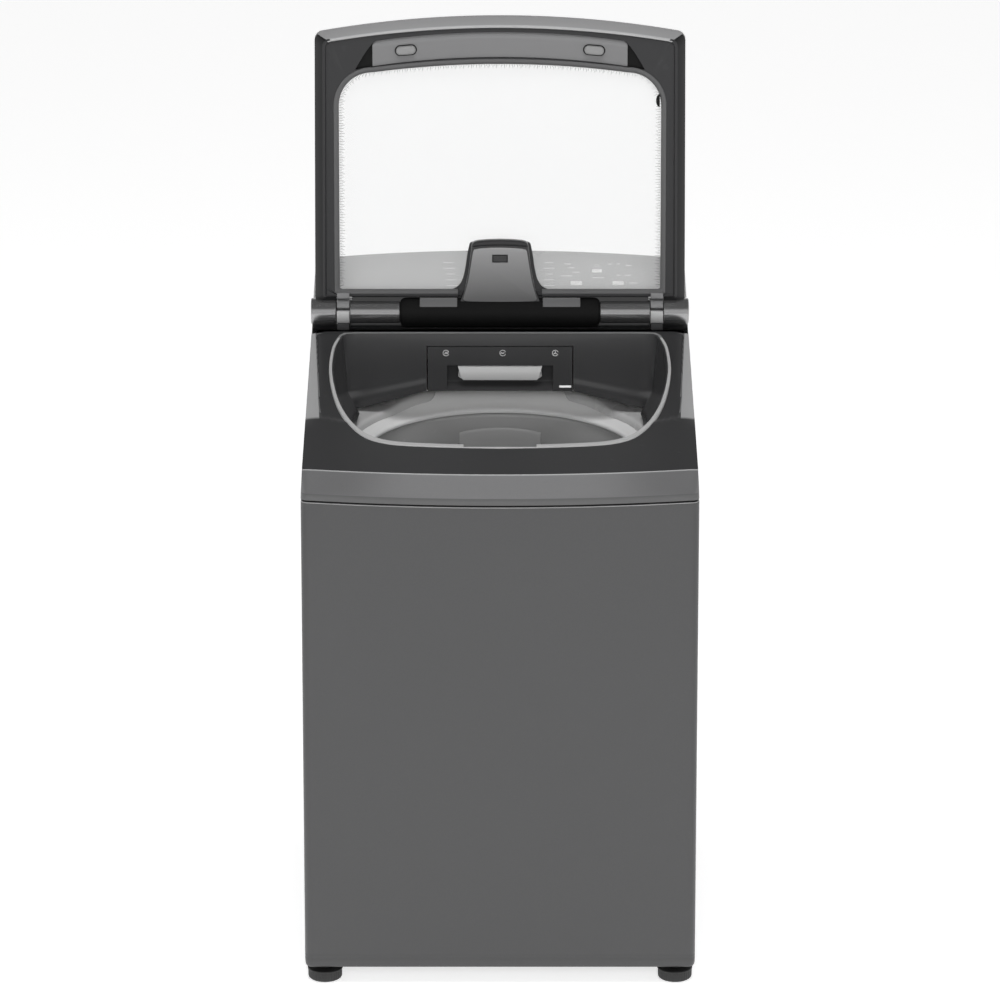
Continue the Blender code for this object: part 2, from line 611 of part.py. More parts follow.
def make_plumbing():
    valve = box("inlet_valve", (0.185, 0.262, 0.862), (0.265, 0.318, 0.908), "white")
    ports = [cylinder(f"valve_port_{i}", (x, 0.300, 0.885), (x, 0.3395, 0.885), 0.0130, sides=24)
             for i, x in enumerate((0.205, 0.245))]
    elbow = cylinder("valve_elbow", (0.200, 0.275, 0.895), (0.200, 0.275, 0.9150), 0.0080, sides=16)
    boolean(valve, ports + [elbow], 'UNION')
    hose = [(0.200, 0.275, 0.9154)]
    hose += smooth([(0.200, 0.275, 0.9200), (0.1985, 0.2735, 0.9250), (0.1900, 0.266, 0.9290),
                   (0.172, 0.256, 0.9190), (0.152, 0.251, 0.9070), (0.1326, 0.250, 0.9050)], 4)
    tube("inlet_hose", hose, 0.0070, "rubber", resolution=1)
    turned("cord_gland", [(0.0, 0.010), (0.013, 0.010), (0.013, 0.0), (0.009, 0.0), (0.009, -0.0055),
                          (0.0, -0.0055)], "rubber", at=(0.200, 0.3341, 0.700), steps=20,
           tilt=math.pi / 2)
    turned("drain_outlet", [(0.0, 0.018), (0.014, 0.018), (0.014, 0.006), (0.024, 0.006), (0.024, 0.0),
                            (0.015, 0.0), (0.015, -0.0055), (0.011, -0.0055), (0.011, 0.004), (0.0, 0.004)],
           "plastic", at=(-0.180, 0.3341, 0.110), steps=20, tilt=math.pi / 2)
    pump = turned("drain_pump", [(0.0, 0.1395), (0.013, 0.1395), (0.013, 0.113), (0.042, 0.110),
                                 (0.045, 0.107), (0.045, 0.0625), (0.0, 0.0625)],
                  "plastic", at=(0.0, 0.170, 0.0), steps=24)
    boolean(pump, [cylinder("pump_spigot", (-0.030, 0.170, 0.088), (-0.0600, 0.170, 0.088), 0.012,
                            sides=20)], 'UNION')
    drain = smooth([(-0.0615, 0.170, 0.088), (-0.075, 0.170, 0.088), (-0.095, 0.173, 0.088),
                    (-0.135, 0.190, 0.094), (-0.170, 0.235, 0.106), (-0.180, 0.275, 0.110),
                    (-0.180, 0.3155, 0.110)], 4)
    tube("drain_hose", drain, 0.0125, "rubber")
    folds = 4
    outer, inner = [], []
    for i in range(folds * 2 + 1):
        z = 0.1792 - (0.1792 - 0.1400) * i / (folds * 2)
        swell = 0.0 if i % 2 else 0.003
        outer.append((0.0180 + swell, z))
        inner.append((0.0145 + swell, z))
    turned("sump_bellows", outer + inner[::-1], "rubber", at=(0.0, 0.170, 0.0), closed=True, steps=16)


# ---------------------------------------------------------------- tub, basket and drive
def make_tub():
    axis = empty("tub_axis", (0.0, TUB_Y, 0.0))
    tub = turned("outer_tub", [(TUB_R, 0.790), (TUB_R, 0.205), (TUB_R - 0.012, 0.1815), (0.031, 0.1800),
                               (0.031, 0.1830), (TUB_R - 0.014, 0.1845), (TUB_R - 0.003, 0.206),
                               (TUB_R - 0.003, 0.790)], "plastic", axis, closed=True, steps=36)
    boolean(tub, [cylinder("sump_cut", (0, 0.190, 0.10), (0, 0.190, 0.20), 0.0150, None, axis)])
    cover = turned("tub_cover", [(RING_R, 0.8000), (RING_R + 0.003, 0.8055), (RING_R + 0.020, 0.8110),
                                 (TUB_R - 0.003, 0.8120), (TUB_R - 0.001, 0.8100), (TUB_R - 0.001, 0.7903),
                                 (TUB_R - 0.004, 0.7903), (TUB_R - 0.004, 0.8080), (RING_R + 0.021, 0.8070),
                                 (RING_R + 0.004, 0.8015), (RING_R + 0.003, 0.7960), (RING_R, 0.7960)],
                   "light", axis, closed=True, steps=36)
    wings = []
    for side in (0, 180):
        outer = arc((0, 0), TUB_R - 0.006, side - 66, side + 66, 12)
        inner = arc((0, 0), RING_R + 0.0205, side + 63, side - 63, 12)
        wings.append(bevel(prism(f"cover_wing_{side}", [(x, y, 0.8095) for x, y in outer + inner],
                                 (0, 0, 0.0125), None, axis), 0.003, 1, 60))
    boolean(cover, wings, 'UNION')
    spin = BASKET_R
    turned("basket", [(spin, 0.7440), (spin, 0.230), (spin - 0.018, 0.2100), (0.033, 0.2070),
                      (0.033, 0.2100), (spin - 0.019, 0.2130), (spin - 0.0025, 0.2310),
                      (spin - 0.0025, 0.7440)], "mid", axis, closed=True, steps=36)
    turned("balance_ring", [(0.2240, 0.7900), (0.2270, 0.7930), (0.2490, 0.7930), (0.2520, 0.7900),
                            (0.2520, 0.7443), (0.2240, 0.7443)], "light", axis, closed=True, steps=36)
    filter_back = arc((0, 0), spin - 0.0052, 71.5, 108.5, 12)
    filter_face = arc((0, 0), spin - 0.0190, 107.5, 72.5, 12)
    bevel(prism("lint_filter", [(x, y, 0.560) for x, y in filter_back + filter_face], (0, 0, 0.176),
                "mid", axis), 0.002, 1, 50)
    return axis


def make_agitator(axis):
    outer = smooth([(0.034, 0.598), (0.0460, 0.575), (0.0500, 0.460), (0.0580, 0.340), (0.0850, 0.275),
                    (0.140, 0.246), (0.196, 0.236)], 2)
    rim = [(0.196, 0.2250), (0.193, 0.2250)]
    inner = [(r - 0.003, z - 0.003) for r, z in reversed(outer)]
    body = turned("agitator", [(0.0, 0.602)] + outer + rim + inner + [(0.0, 0.5985)], "mid", axis, steps=20)
    fins = []
    for k in range(4):
        fin = prism(f"agitator_fin_{k}", [(0.046, -0.004, 0.500), (0.046, -0.004, 0.300),
                                          (0.080, -0.004, 0.274), (0.180, -0.004, 0.2385),
                                          (0.183, -0.004, 0.262), (0.120, -0.004, 0.300),
                                          (0.080, -0.004, 0.400)], (0, 0.008, 0), None, axis)
        fin.rotation_euler = (0, 0, math.pi / 2 * k)
        fins.append(fin)
    boolean(body, fins, 'UNION')
    cylinder("drive_shaft", (0, 0, 0.120), (0, 0, 0.560), 0.0125, "steel", axis, sides=24)


def belt_outline(near, far, distance):
    """Outline of a belt round two pulleys of radius near and far, the far one along +X."""
    lean = math.degrees(math.acos((near - far) / distance))
    return arc((0, 0), near, lean, 360 - lean, 18) + arc((distance, 0), far, -lean, lean, 6)


def make_drive(axis):
    reach, arm = 0.372, 0.030
    outline = []
    for k in range(4):
        along = Vector((math.cos(math.radians(45 + 90 * k)), math.sin(math.radians(45 + 90 * k))))
        across = Vector((-along.y, along.x))
        for point in (along * reach - across * arm, along * reach + across * arm,
                      (along + across) * arm * 2.6):
            outline.append((point.x, point.y, PLATE_Z[0]))
    plate = prism("support_plate", outline, (0, 0, PLATE_Z[1] - PLATE_Z[0]), "steel", axis)
    holes = [cylinder("plate_hub_cut", (0, 0, 0.1), (0, 0, 0.2), 0.031, None, axis)]
    holes += [cylinder(f"plate_rod_cut_{i}", (sx * ROD, sy * ROD, 0.1), (sx * ROD, sy * ROD, 0.2), 0.0062,
                       None, axis, sides=12) for i, (sx, sy) in enumerate(CORNERS)]
    boolean(plate, holes)
    turned("gearcase", [(0.0140, 0.1676), (0.072, 0.1676), (0.075, 0.1640), (0.075, 0.110),
                        (0.060, 0.098), (0.0140, 0.098)], "steel", axis, closed=True, steps=24)
    turned("drive_pulley", [(0.0, 0.116), (0.012, 0.116), (0.012, 0.094), (PULLEY_R, 0.094),
                            (PULLEY_R, 0.0905), (0.0695, 0.0865), (0.0695, 0.0795), (PULLEY_R, 0.0755),
                            (PULLEY_R, 0.072), (0.0, 0.072)], "steel", axis, steps=28)
    turned("motor", [(0.0100, 0.1676), (0.052, 0.1676), (0.055, 0.1640), (0.055, 0.106), (0.045, 0.0970),
                     (0.0100, 0.0970)], "steel", axis, (*MOTOR_AT, 0.0), closed=True, steps=24)
    turned("motor_pulley", [(0.0, 0.150), (0.0085, 0.150), (0.0085, 0.094), (0.021, 0.094), (0.021, 0.0905),
                            (0.0155, 0.0865), (0.0155, 0.0795), (0.021, 0.0755), (0.021, 0.072),
                            (0.0, 0.072)], "steel", axis, (*MOTOR_AT, 0.0), steps=16)
    distance = math.hypot(*MOTOR_AT)
    belt = prism("drive_belt", [(x, y, 0.0800) for x, y in belt_outline(0.0745, 0.0205, distance)],
                 (0, 0, 0.006), "rubber", axis)
    hole = prism("belt_cut", [(x, y, 0.07) for x, y in belt_outline(0.0700, 0.0160, distance)],
                 (0, 0, 0.03), None, axis)
    belt.rotation_euler = hole.rotation_euler = (0, 0, math.atan2(MOTOR_AT[1], MOTOR_AT[0]))
    boolean(belt, [hole])


def make_suspension():
    rod = [(0.0, 0.754), (0.010, 0.754), (0.010, 0.7443), (0.005, 0.7443), (0.005, 0.106),
           (0.014, 0.106), (0.014, 0.094), (0.0, 0.094)]
    turns, per_turn, coil_r, wire = 3, 8, 0.0100, 0.0019
    low, high = 0.1085, 0.1655
    for (sx, sy), name in zip(CORNERS, CORNER_NAMES):
        at = (sx * ROD, TUB_Y + sy * ROD, 0.0)
        turned(f"suspension_rod_{name}", rod, "steel", at=at, steps=12)
        route = []
        for i in range(turns * per_turn + 1):
            a = 2 * math.pi * i / per_turn
            route.append((at[0] + coil_r * math.cos(a), at[1] + coil_r * math.sin(a),
                          low + (high - low) * i / (turns * per_turn)))
        tube(f"suspension_spring_{name}", route, wire, "steel", resolution=1)
    for side, name in ((-1, "left"), (1, "right")):
        half = [(0.3130, -0.300), (0.3130, 0.262), (0.228, 0.262), (0.228, 0.196), (0.2930, 0.176),
                (0.2930, -0.214), (0.228, -0.234), (0.228, -0.300)]
        rail = prism(f"suspension_rail_{name}", [(side * x, y, 0.739) for x, y in half], (0, 0, 0.005),
                     "steel")
        boolean(rail, [cylinder(f"rail_cut_{name}_{sy}", (side * ROD, TUB_Y + sy * ROD, 0.7),
                                (side * ROD, TUB_Y + sy * ROD, 0.8), 0.0062, sides=12) for sy in (-1, 1)])


make_cabinet()
make_feet()
make_top_console()
make_rim()
make_collar()
make_rear_console()
make_controls()
make_lid()
make_hinges()
make_dispenser()
make_plumbing()
tub_axis = make_tub()
make_agitator(tub_axis)
make_drive(tub_axis)
make_suspension()
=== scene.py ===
"""Looks of the top-loading washing machine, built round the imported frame.

Metres, +Z up, front towards -Y.  Pieces of the lid are drawn in the lid's own shut frame
(x, -u, v), where u runs from the hinge to the front edge, and are then turned to the open stop.
"""
import json
import math

import bmesh
import bpy
from mathutils import Matrix, Vector

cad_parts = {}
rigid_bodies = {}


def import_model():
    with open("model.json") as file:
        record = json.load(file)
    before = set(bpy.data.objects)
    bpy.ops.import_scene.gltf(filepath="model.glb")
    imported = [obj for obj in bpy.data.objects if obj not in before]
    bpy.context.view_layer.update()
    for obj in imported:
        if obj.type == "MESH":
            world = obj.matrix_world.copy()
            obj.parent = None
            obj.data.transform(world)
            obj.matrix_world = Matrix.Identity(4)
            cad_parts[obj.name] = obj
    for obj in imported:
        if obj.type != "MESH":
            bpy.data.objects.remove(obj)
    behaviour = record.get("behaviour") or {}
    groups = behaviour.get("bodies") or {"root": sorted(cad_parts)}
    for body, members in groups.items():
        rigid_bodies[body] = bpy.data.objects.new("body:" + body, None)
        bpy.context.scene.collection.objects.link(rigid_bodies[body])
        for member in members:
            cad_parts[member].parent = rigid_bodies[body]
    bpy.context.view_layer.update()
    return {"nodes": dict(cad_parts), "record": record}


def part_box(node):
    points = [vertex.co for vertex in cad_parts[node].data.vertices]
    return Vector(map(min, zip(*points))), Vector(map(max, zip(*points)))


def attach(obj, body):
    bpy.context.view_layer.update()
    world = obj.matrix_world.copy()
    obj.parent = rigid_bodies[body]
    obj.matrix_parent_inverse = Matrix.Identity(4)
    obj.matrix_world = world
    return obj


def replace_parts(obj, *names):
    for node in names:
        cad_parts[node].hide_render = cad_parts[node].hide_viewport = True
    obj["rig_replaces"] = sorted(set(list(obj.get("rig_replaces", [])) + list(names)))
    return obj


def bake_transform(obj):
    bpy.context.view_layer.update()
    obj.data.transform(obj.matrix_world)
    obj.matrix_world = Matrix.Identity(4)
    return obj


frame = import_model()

RECORD = frame["record"]
NODES = frame["nodes"]
SLOT_OF = {part["node"]: part["material_slot"] for part in RECORD["subparts"]}
JOINTS = {joint["name"]: joint for joint in RECORD["behaviour"]["joints"]}

# Places, read from the frame
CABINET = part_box("cabinet_shell")
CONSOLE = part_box("top_console")
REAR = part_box("rear_console")
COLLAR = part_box("opening_collar")
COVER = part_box("tub_cover")
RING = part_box("balance_ring")
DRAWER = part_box("drawer_front")
HINGE = Vector(JOINTS["lid_hinge"]["pos_m"])
HALF_W, HALF_D = CABINET[1].x, -CABINET[0].y
TUB = Vector(((COVER[0].x + COVER[1].x) / 2, (COVER[0].y + COVER[1].y) / 2, 0.0))
AT_TUB = Matrix.Translation(TUB)

# Shape of the console, as the frame has it
SEAM_SIDE = 0.8237
SEAM_DIP = 0.0087
STRIP_H = 0.0112
CORNER_R = 0.013
SIDE_LEAN = 0.0468
DECK_SLOPE = math.tan(math.radians(11.3))
DECK_FRONT_Y = -0.330
DECK_FRONT_Z = 0.8643
BAND_BOW = 0.0165
LID_LEAN = math.radians(5.0)
LID_TURN = Matrix.Translation(HINGE) @ Matrix.Rotation(-math.pi / 2 - LID_LEAN, 4, 'X')

SIDES = ((-1, "left"), (1, "right"))
CORNERS = ("front_left", "front_right", "rear_left", "rear_right")
FLAT_AREA = 0.0008  # faces from this size on are shaded flat
SCREW_R = 0.0042


def shown(name, data):
    """A new object in the scene."""
    obj = bpy.data.objects.new(name, data)
    bpy.context.scene.collection.objects.link(obj)
    return obj


# ---------------------------------------------------------------- camera, floor and light
def make_camera():
    """Long lens at the height and slope that show the deck and the open lid."""
    data = bpy.data.cameras.new("camera")
    data.lens, data.sensor_width, data.clip_end = 241.2, 36.0, 60.0
    camera = shown("camera", data)
    camera.location = (0.0, -10.353, 4.195)
    camera.rotation_euler = (math.radians(71.4), 0.0, 0.0)
    bpy.context.scene.camera = camera


def area_light(name, at, aim, size, power):
    """A soft box that lights surfaces but is not mirrored in them."""
    data = bpy.data.lights.new(name, 'AREA')
    data.shape = 'RECTANGLE'
    data.size, data.size_y = size
    data.energy = power
    light = shown(name, data)
    light.location = at
    light.rotation_euler = (Vector(aim) - Vector(at)).to_track_quat('-Z', 'Y').to_euler()
    light.visible_glossy = False


def make_world():
    """A pale horizon under a darker ceiling, so that flat tops stay deep and round bars read."""
    world = bpy.data.worlds.new("studio")
    world.use_nodes = True
    tree = world.node_tree
    background = tree.nodes["Background"]
    split = node(tree, "SeparateXYZ", {"Vector": node(tree, "TexCoord").outputs["Generated"]})
    height = node(tree, "MapRange", {"Value": split.outputs["Z"], "From Min": 0.42, "From Max": 0.62,
                                     "To Min": 0.85, "To Max": 0.12}, interpolation_type='SMOOTHSTEP')
    seen = node(tree, "LightPath").outputs["Is Camera Ray"]
    plain = node(tree, "Mix", {"Factor": seen, "A": height.outputs["Result"], "B": 1.0})
    tree.links.new(plain.outputs["Result"], background.inputs["Strength"])
    background.inputs["Color"].default_value = (1.0, 1.0, 1.0, 1.0)
    bpy.context.scene.world = world


def make_floor():
    mesh = bpy.data.meshes.new("floor")
    reach = 40.0
    mesh.from_pydata([(-reach, -reach, 0), (reach, -reach, 0), (reach, reach, 0), (-reach, reach, 0)],
                     [], [(0, 1, 2, 3)])
    floor = shown("floor", mesh)
    floor.location.z = -0.0004
    pale = bpy.data.materials.new("floor_pale")
    pale.use_nodes = True
    set_inputs(pale.node_tree.nodes["Principled BSDF"], {
        "Base Color": (0.80, 0.80, 0.80, 1.0), "Roughness": 0.9, "Specular IOR Level": 0.1,
        "Emission Color": (1.0, 1.0, 1.0, 1.0), "Emission Strength": 0.66})
    mesh.materials.append(pale)


def make_studio():
    bpy.context.scene.view_settings.view_transform = 'Standard'
    make_world()
    make_floor()
    area_light("front_box", (0.0, -5.0, 2.6), (0.0, 0.0, 0.75), (3.6, 1.2), 95.0)
    area_light("top_box", (0.0, -0.9, 3.3), (0.0, 0.05, 0.8), (1.6, 1.2), 42.0)
    for side, name in SIDES:
        area_light(f"{name}_box", (side * 3.6, 1.6, 1.5), (0.0, 0.0, 0.8), (1.0, 2.0), 14.0)


# ---------------------------------------------------------------- materials
def set_inputs(shader, values):
    """Each input is linked where its value is a socket, and set where it is a number or a colour."""
    for socket, value in values.items():
        if isinstance(value, bpy.types.NodeSocket):
            shader.id_data.links.new(value, shader.inputs[socket])
        else:
            shader.inputs[socket].default_value = value


def node(tree, kind, values=None, **settings):
    made = tree.nodes.new(f"ShaderNode{kind}")
    for name, value in settings.items():
        setattr(made, name, value)
    set_inputs(made, values or {})
    return made


def noise(tree, scale, detail, vector):
    return node(tree, "TexNoise", {"Scale": scale, "Detail": detail, "Vector": vector}).outputs["Fac"]


def ramp(tree, value, source, target):
    """Map a value from one range to another."""
    sockets = zip(("From Min", "From Max", "To Min", "To Max"), (*source, *target))
    return node(tree, "MapRange", {"Value": value, **dict(sockets)}).outputs["Result"]


def blend_colour(tree, factor, first, second):
    """Mix two colours; each is a socket or a plain triple."""
    first, second = ((*c, 1.0) if isinstance(c, tuple) else c for c in (first, second))
    return node(tree, "Mix", {0: factor, 6: first, 7: second}, data_type='RGBA').outputs[2]


def lighter(colour, share, lift=0.0):
    return tuple(min(1.0, c * share + lift) for c in colour)


def moulded(name, colour, rough, metallic=0.0, grain=900.0, depth=0.00003, drift=0.04, coat=0.0,
            edge=0.0010, worn_edge_highlight=0.35, flake=0.0, stretch=(1.0, 1.0, 1.0), marks=0.0, shine=0.5):
    """A plastic, paint or metal: drifting tone, fine grain, tiny scuffs, and round edges painted lighter, partly worn
    and partly a painted edge highlight.
    """
    material = bpy.data.materials.new(name)
    material.use_nodes = True
    tree = material.node_tree
    place = node(tree, "Mapping", {"Vector": node(tree, "TexCoord").outputs["Object"],
                                   "Scale": stretch}).outputs["Vector"]
    broad = noise(tree, 3.5, 3.0, place)
    last = blend_colour(tree, broad, lighter(colour, 1 - drift), lighter(colour, 1 + drift))
    gloss = ramp(tree, broad, (0.3, 0.7), (max(0.03, rough - 0.03), rough + 0.04))
    if flake:
        spark = node(tree, "TexVoronoi", {"Scale": 1500.0, "Vector": place})
        glint = ramp(tree, spark.outputs["Distance"], (0.0, 0.45), (flake, 0.0))
        last = blend_colour(tree, glint, last, lighter(colour, 3.5))
    if marks:
        scuff = ramp(tree, noise(tree, 60.0, 6.0, place), (0.66, 0.74), (0.0, marks))
        last = blend_colour(tree, scuff, last, lighter(colour, 1.8, 0.01))
    soft = node(tree, "Bevel", {"Radius": edge}, samples=4).outputs["Normal"]
    # Round edges, found from the bevel normal, are painted lighter: partly worn, partly a painted highlight.
    if worn_edge_highlight:
        facing = node(tree, "VectorMath", {0: soft, 1: node(tree, "NewGeometry").outputs["Normal"]},
                      operation='DOT_PRODUCT')
        worn_and_highlit = ramp(tree, facing.outputs["Value"], (0.995, 0.80), (0.0, worn_edge_highlight))
        last = blend_colour(tree, worn_and_highlit, last, lighter(colour, 2.0, 0.015))
    bump = node(tree, "Bump", {"Strength": 0.30, "Distance": depth, "Height": noise(tree, grain, 2.0, place),
                               "Normal": soft})
    set_inputs(tree.nodes["Principled BSDF"], {
        "Metallic": metallic, "Coat Weight": coat, "Coat Roughness": 0.06, "Specular IOR Level": shine,
        "Base Color": last, "Roughness": gloss, "Normal": bump.outputs["Normal"]})
    return material


def see_through(name, colour, alpha, rough=0.05):
    """A thin clear or printed layer: mostly see-through, with a faint smear in its gloss."""
    material = moulded(name, colour, rough, drift=0.02, worn_edge_highlight=0.0, edge=0.0003)
    material.node_tree.nodes["Principled BSDF"].inputs["Alpha"].default_value = alpha
    return material


def painted_over(material, coordinates, cover, colour):
    """Adds a second colour where cover(tree, place), given the separated coordinates, is 1."""
    tree = material.node_tree
    base = tree.nodes["Principled BSDF"].inputs["Base Color"]
    place = node(tree, "SeparateXYZ", {"Vector": node(tree, "TexCoord").outputs[coordinates]}).outputs
    under = base.links[0].from_socket
    tree.links.new(blend_colour(tree, cover(tree, place), under, colour), base)
    return material


def deck_with_shade_and_sheen():
    """Dark satin for the deck's up-facing faces, darker than the band as painted shade, its rolled shoulders painted
    lighter as a painted sheen.
    """
    # Mask of the shoulders' painted sheen.
    def shoulders(tree, place):
        side = node(tree, "Math", {0: place["X"]}, operation='ABSOLUTE').outputs[0]
        lean = node(tree, "Math", {0: place["Y"], 1: -0.0446, 2: side}, operation='MULTIPLY_ADD').outputs[0]
        across = ramp(tree, lean, (0.2954, 0.2964), (0.0, 1.0))
        along = ramp(tree, place["Y"], (-0.154, -0.146), (0.0, 1.0))
        return node(tree, "Math", {0: across, 1: along}, operation='MULTIPLY').outputs[0]

    # The dark satin is painted shade; the lighter shoulder colour over it is a painted sheen.
    satin = moulded("deck_shade_satin", (0.026, 0.026, 0.027), 0.36, 0.0, 1200.0, 0.00002, 0.04, marks=0.25, shine=0.25)
    return painted_over(satin, "Object", shoulders, (0.27, 0.27, 0.272))


def nose_light_gradient():
    """Satin face plate painted lighter towards its tip: a painted gradient of light on its upward-facing face."""
    satin = moulded("nose_face_painted_light", (0.088, 0.088, 0.089), 0.30, 0.1, 900.0, 0.00002, 0.03, flake=0.08)
    return painted_over(satin, "Generated", lambda tree, place: ramp(tree, place["Z"], (0.1, 1.0), (0.0, 1.0)),
                        (0.235, 0.235, 0.237))


LOOK = {
    "paint": moulded("graphite_paint", (0.060, 0.060, 0.0612), 0.36, 0.25, 800.0, 0.000015, 0.02,
                     flake=0.16, worn_edge_highlight=0.2),
    "band": moulded("band_paint", (0.135, 0.135, 0.137), 0.30, 0.30, 800.0, 0.000012, 0.02, flake=0.12),
    # Darker paint for the band's strip below the crease: painted shade.
    "strip": moulded("strip_shade_paint", (0.088, 0.088, 0.089), 0.32, 0.30, 800.0, 0.000012, 0.02, flake=0.12),
    # Light paint for thin rounded edges: a painted highlight.
    "painted_edge_highlight": moulded("edge_highlight_paint", (0.30, 0.30, 0.302), 0.30, 0.1, 800.0, 0.000012, 0.02),
    "deck": deck_with_shade_and_sheen(),
    "gloss": moulded("gloss_black", (0.010, 0.010, 0.0105), 0.14, 0.0, 500.0, 0.000008, 0.10, coat=0.4),
    "collar": moulded("collar_gloss", (0.036, 0.036, 0.037), 0.22, 0.0, 300.0, 0.000015, 0.08, coat=0.2),
    "barrel": moulded("barrel_satin", (0.33, 0.33, 0.333), 0.20, 0.9, 900.0, 0.00001, 0.03),
    "lid_dark": moulded("lid_satin", (0.021, 0.021, 0.022), 0.35, 0.0, 1100.0, 0.00002, 0.04, marks=0.2,
                        shine=0.35),
    # Darker satin for the lid's side bevels: painted shade.
    "lid_edge": moulded("lid_side_painted_shade", (0.009, 0.009, 0.0095), 0.35, 0.0, 1100.0, 0.00002, 0.04, shine=0.25),
    # Light satin for the lid's tip bevel: painted light.
    "lid_tip": moulded("lid_tip_painted_light", (0.200, 0.200, 0.202), 0.32, 0.0, 1100.0, 0.00002, 0.04, worn_edge_highlight=0.5),
    "strap": moulded("strap_grey", (0.15, 0.15, 0.152), 0.34, 0.0, 1000.0, 0.00003, 0.03),
    "black": moulded("matt_black", (0.005, 0.005, 0.005), 0.55, 0.0, 900.0, 0.00004, 0.08, worn_edge_highlight=0.1, shine=0.15),
    "base": moulded("base_black", (0.018, 0.018, 0.019), 0.55, 0.0, 800.0, 0.00006),
    "rubber": moulded("foot_rubber", (0.014, 0.014, 0.014), 0.50, 0.0, 600.0, 0.00010),
    "hose": moulded("hose_rubber", (0.022, 0.022, 0.022), 0.60, 0.0, 700.0, 0.00010),
    "light": moulded("light_grey", (0.36, 0.36, 0.36), 0.30, 0.0, 1000.0, 0.00002, 0.03, marks=0.15),
    "wing": moulded("wing_grey", (0.46, 0.46, 0.46), 0.26, 0.0, 700.0, 0.00002, 0.03, marks=0.15),
    "ring": moulded("ring_grey", (0.68, 0.68, 0.68), 0.30, 0.0, 700.0, 0.00002, 0.03, marks=0.15),
    "grey": moulded("mid_grey", (0.155, 0.155, 0.157), 0.34, 0.0, 1000.0, 0.00003, 0.03),
    "fascia": moulded("fascia_grey", (0.56, 0.56, 0.562), 0.28, 0.1, 1500.0, 0.00001, 0.02, flake=0.08),
    "tub_grey": moulded("basket_grey", (0.46, 0.46, 0.46), 0.38, 0.0, 800.0, 0.00003, 0.04, marks=0.2),
    "grip": moulded("grip_grey", (0.40, 0.40, 0.40), 0.34, 0.0, 1000.0, 0.00003, 0.03),
    "handle": moulded("handle_grey", (0.140, 0.140, 0.142), 0.34, 0.0, 1000.0, 0.00003, 0.04),
    "bumper": moulded("bumper_grey", (0.19, 0.19, 0.19), 0.55, 0.0, 900.0, 0.00005, 0.04),
    "lip": moulded("lip_grey", (0.070, 0.070, 0.071), 0.40, 0.0, 900.0, 0.00003, 0.04),
    # Lighter grey for the drum's flats: a painted highlight.
    "flat": moulded("flat_painted_highlight", (0.085, 0.085, 0.086), 0.30, 0.0, 900.0, 0.00002, 0.04),
    "nose": nose_light_gradient(),
    "glass": see_through("lid_glass_clear", (0.62, 0.626, 0.624), 0.13),
    "frit": see_through("glass_frit", (0.10, 0.10, 0.10), 0.42, 0.35),
    "print": moulded("printed_white", (0.85, 0.85, 0.85), 0.40, 0.0, 2000.0, 0.000005, 0.02, worn_edge_highlight=0.0),
    "steel": moulded("zinc_steel", (0.50, 0.50, 0.51), 0.32, 1.0, 300.0, 0.00003, 0.08,
                     stretch=(1.0, 1.0, 0.1)),
    "alloy": moulded("cast_alloy", (0.42, 0.42, 0.43), 0.50, 1.0, 500.0, 0.00015, 0.10),
    "white": moulded("white_satin", (0.88, 0.88, 0.88), 0.35, 0.0, 900.0, 0.00002, 0.02),
    "natural": moulded("natural_plastic", (0.58, 0.58, 0.56), 0.45, 0.0, 700.0, 0.00004, 0.04),
}
SLOT_LOOK = {
    "panel_paint": "paint", "console_plastic": "band", "gloss_black": "gloss", "base_plastic": "base",
    "foot_rubber": "rubber", "hose_rubber": "hose", "light_plastic": "light", "grey_plastic": "grey",
    "basket_plastic": "tub_grey", "lid_glass": "glass", "steel": "steel", "cast_alloy": "alloy",
    "white_plastic": "white", "natural_plastic": "natural",
}


# ---------------------------------------------------------------- mesh helpers
def smoothstep(value):
    value = max(0.0, min(1.0, value))
    return value * value * (3 - 2 * value)


def around(radius, angle, height):
    """A point about Z, its angle in radians."""
    return radius * math.cos(angle), radius * math.sin(angle), height


def circle(radius, height, steps):
    return [around(radius, 2 * math.pi * i / steps, height) for i in range(steps)]


def arc(centre, radius, start, end, count):
    """Points on an arc in degrees, both ends included."""
    angles = [math.radians(start + (end - start) * i / count) for i in range(count + 1)]
    return [(centre[0] + radius * math.cos(a), centre[1] + radius * math.sin(a)) for a in angles]


def smooth(points, per_span=6):
    """A Catmull-Rom line through the points, both ends included."""
    line = []
    last = len(points) - 1
    for i in range(last):
        p0, p1, p2, p3 = (Vector(points[max(0, min(last, i + k))]) for k in (-1, 0, 1, 2))
        for step in range(per_span):
            t = step / per_span
            line.append(tuple(0.5 * (2 * p1 + (p2 - p0) * t + (2 * p0 - 5 * p1 + 4 * p2 - p3) * t * t
                                     + (3 * p1 - p0 - 3 * p2 + p3) * t ** 3)))
    return line + [tuple(points[-1])]


def mirrored(half):
    """Close an outline whose first and last points lie on x = 0."""
    return half + [(-x, y) for x, y in reversed(half[1:-1])]


def skin(rows, looped=True, cap_first=False, cap_last=False):
    """Quads between rows of points; looped joins each row's ends."""
    bm = bmesh.new()
    made = [[bm.verts.new(point) for point in row] for row in rows]
    count = len(rows[0])
    for lower, upper in zip(made, made[1:]):
        for i in range(count if looped else count - 1):
            j = (i + 1) % count
            bm.faces.new((lower[i], lower[j], upper[j], upper[i]))
    if cap_first:
        bm.faces.new(list(reversed(made[0])))
    if cap_last:
        bm.faces.new(made[-1])
    if rows[-1] == rows[0]:
        bmesh.ops.remove_doubles(bm, verts=bm.verts, dist=1e-7)
    return bm


def solid(rows):
    return skin(rows, cap_first=True, cap_last=True)


def at_v(outline, v):
    return [(x, y, v) for x, y in outline]


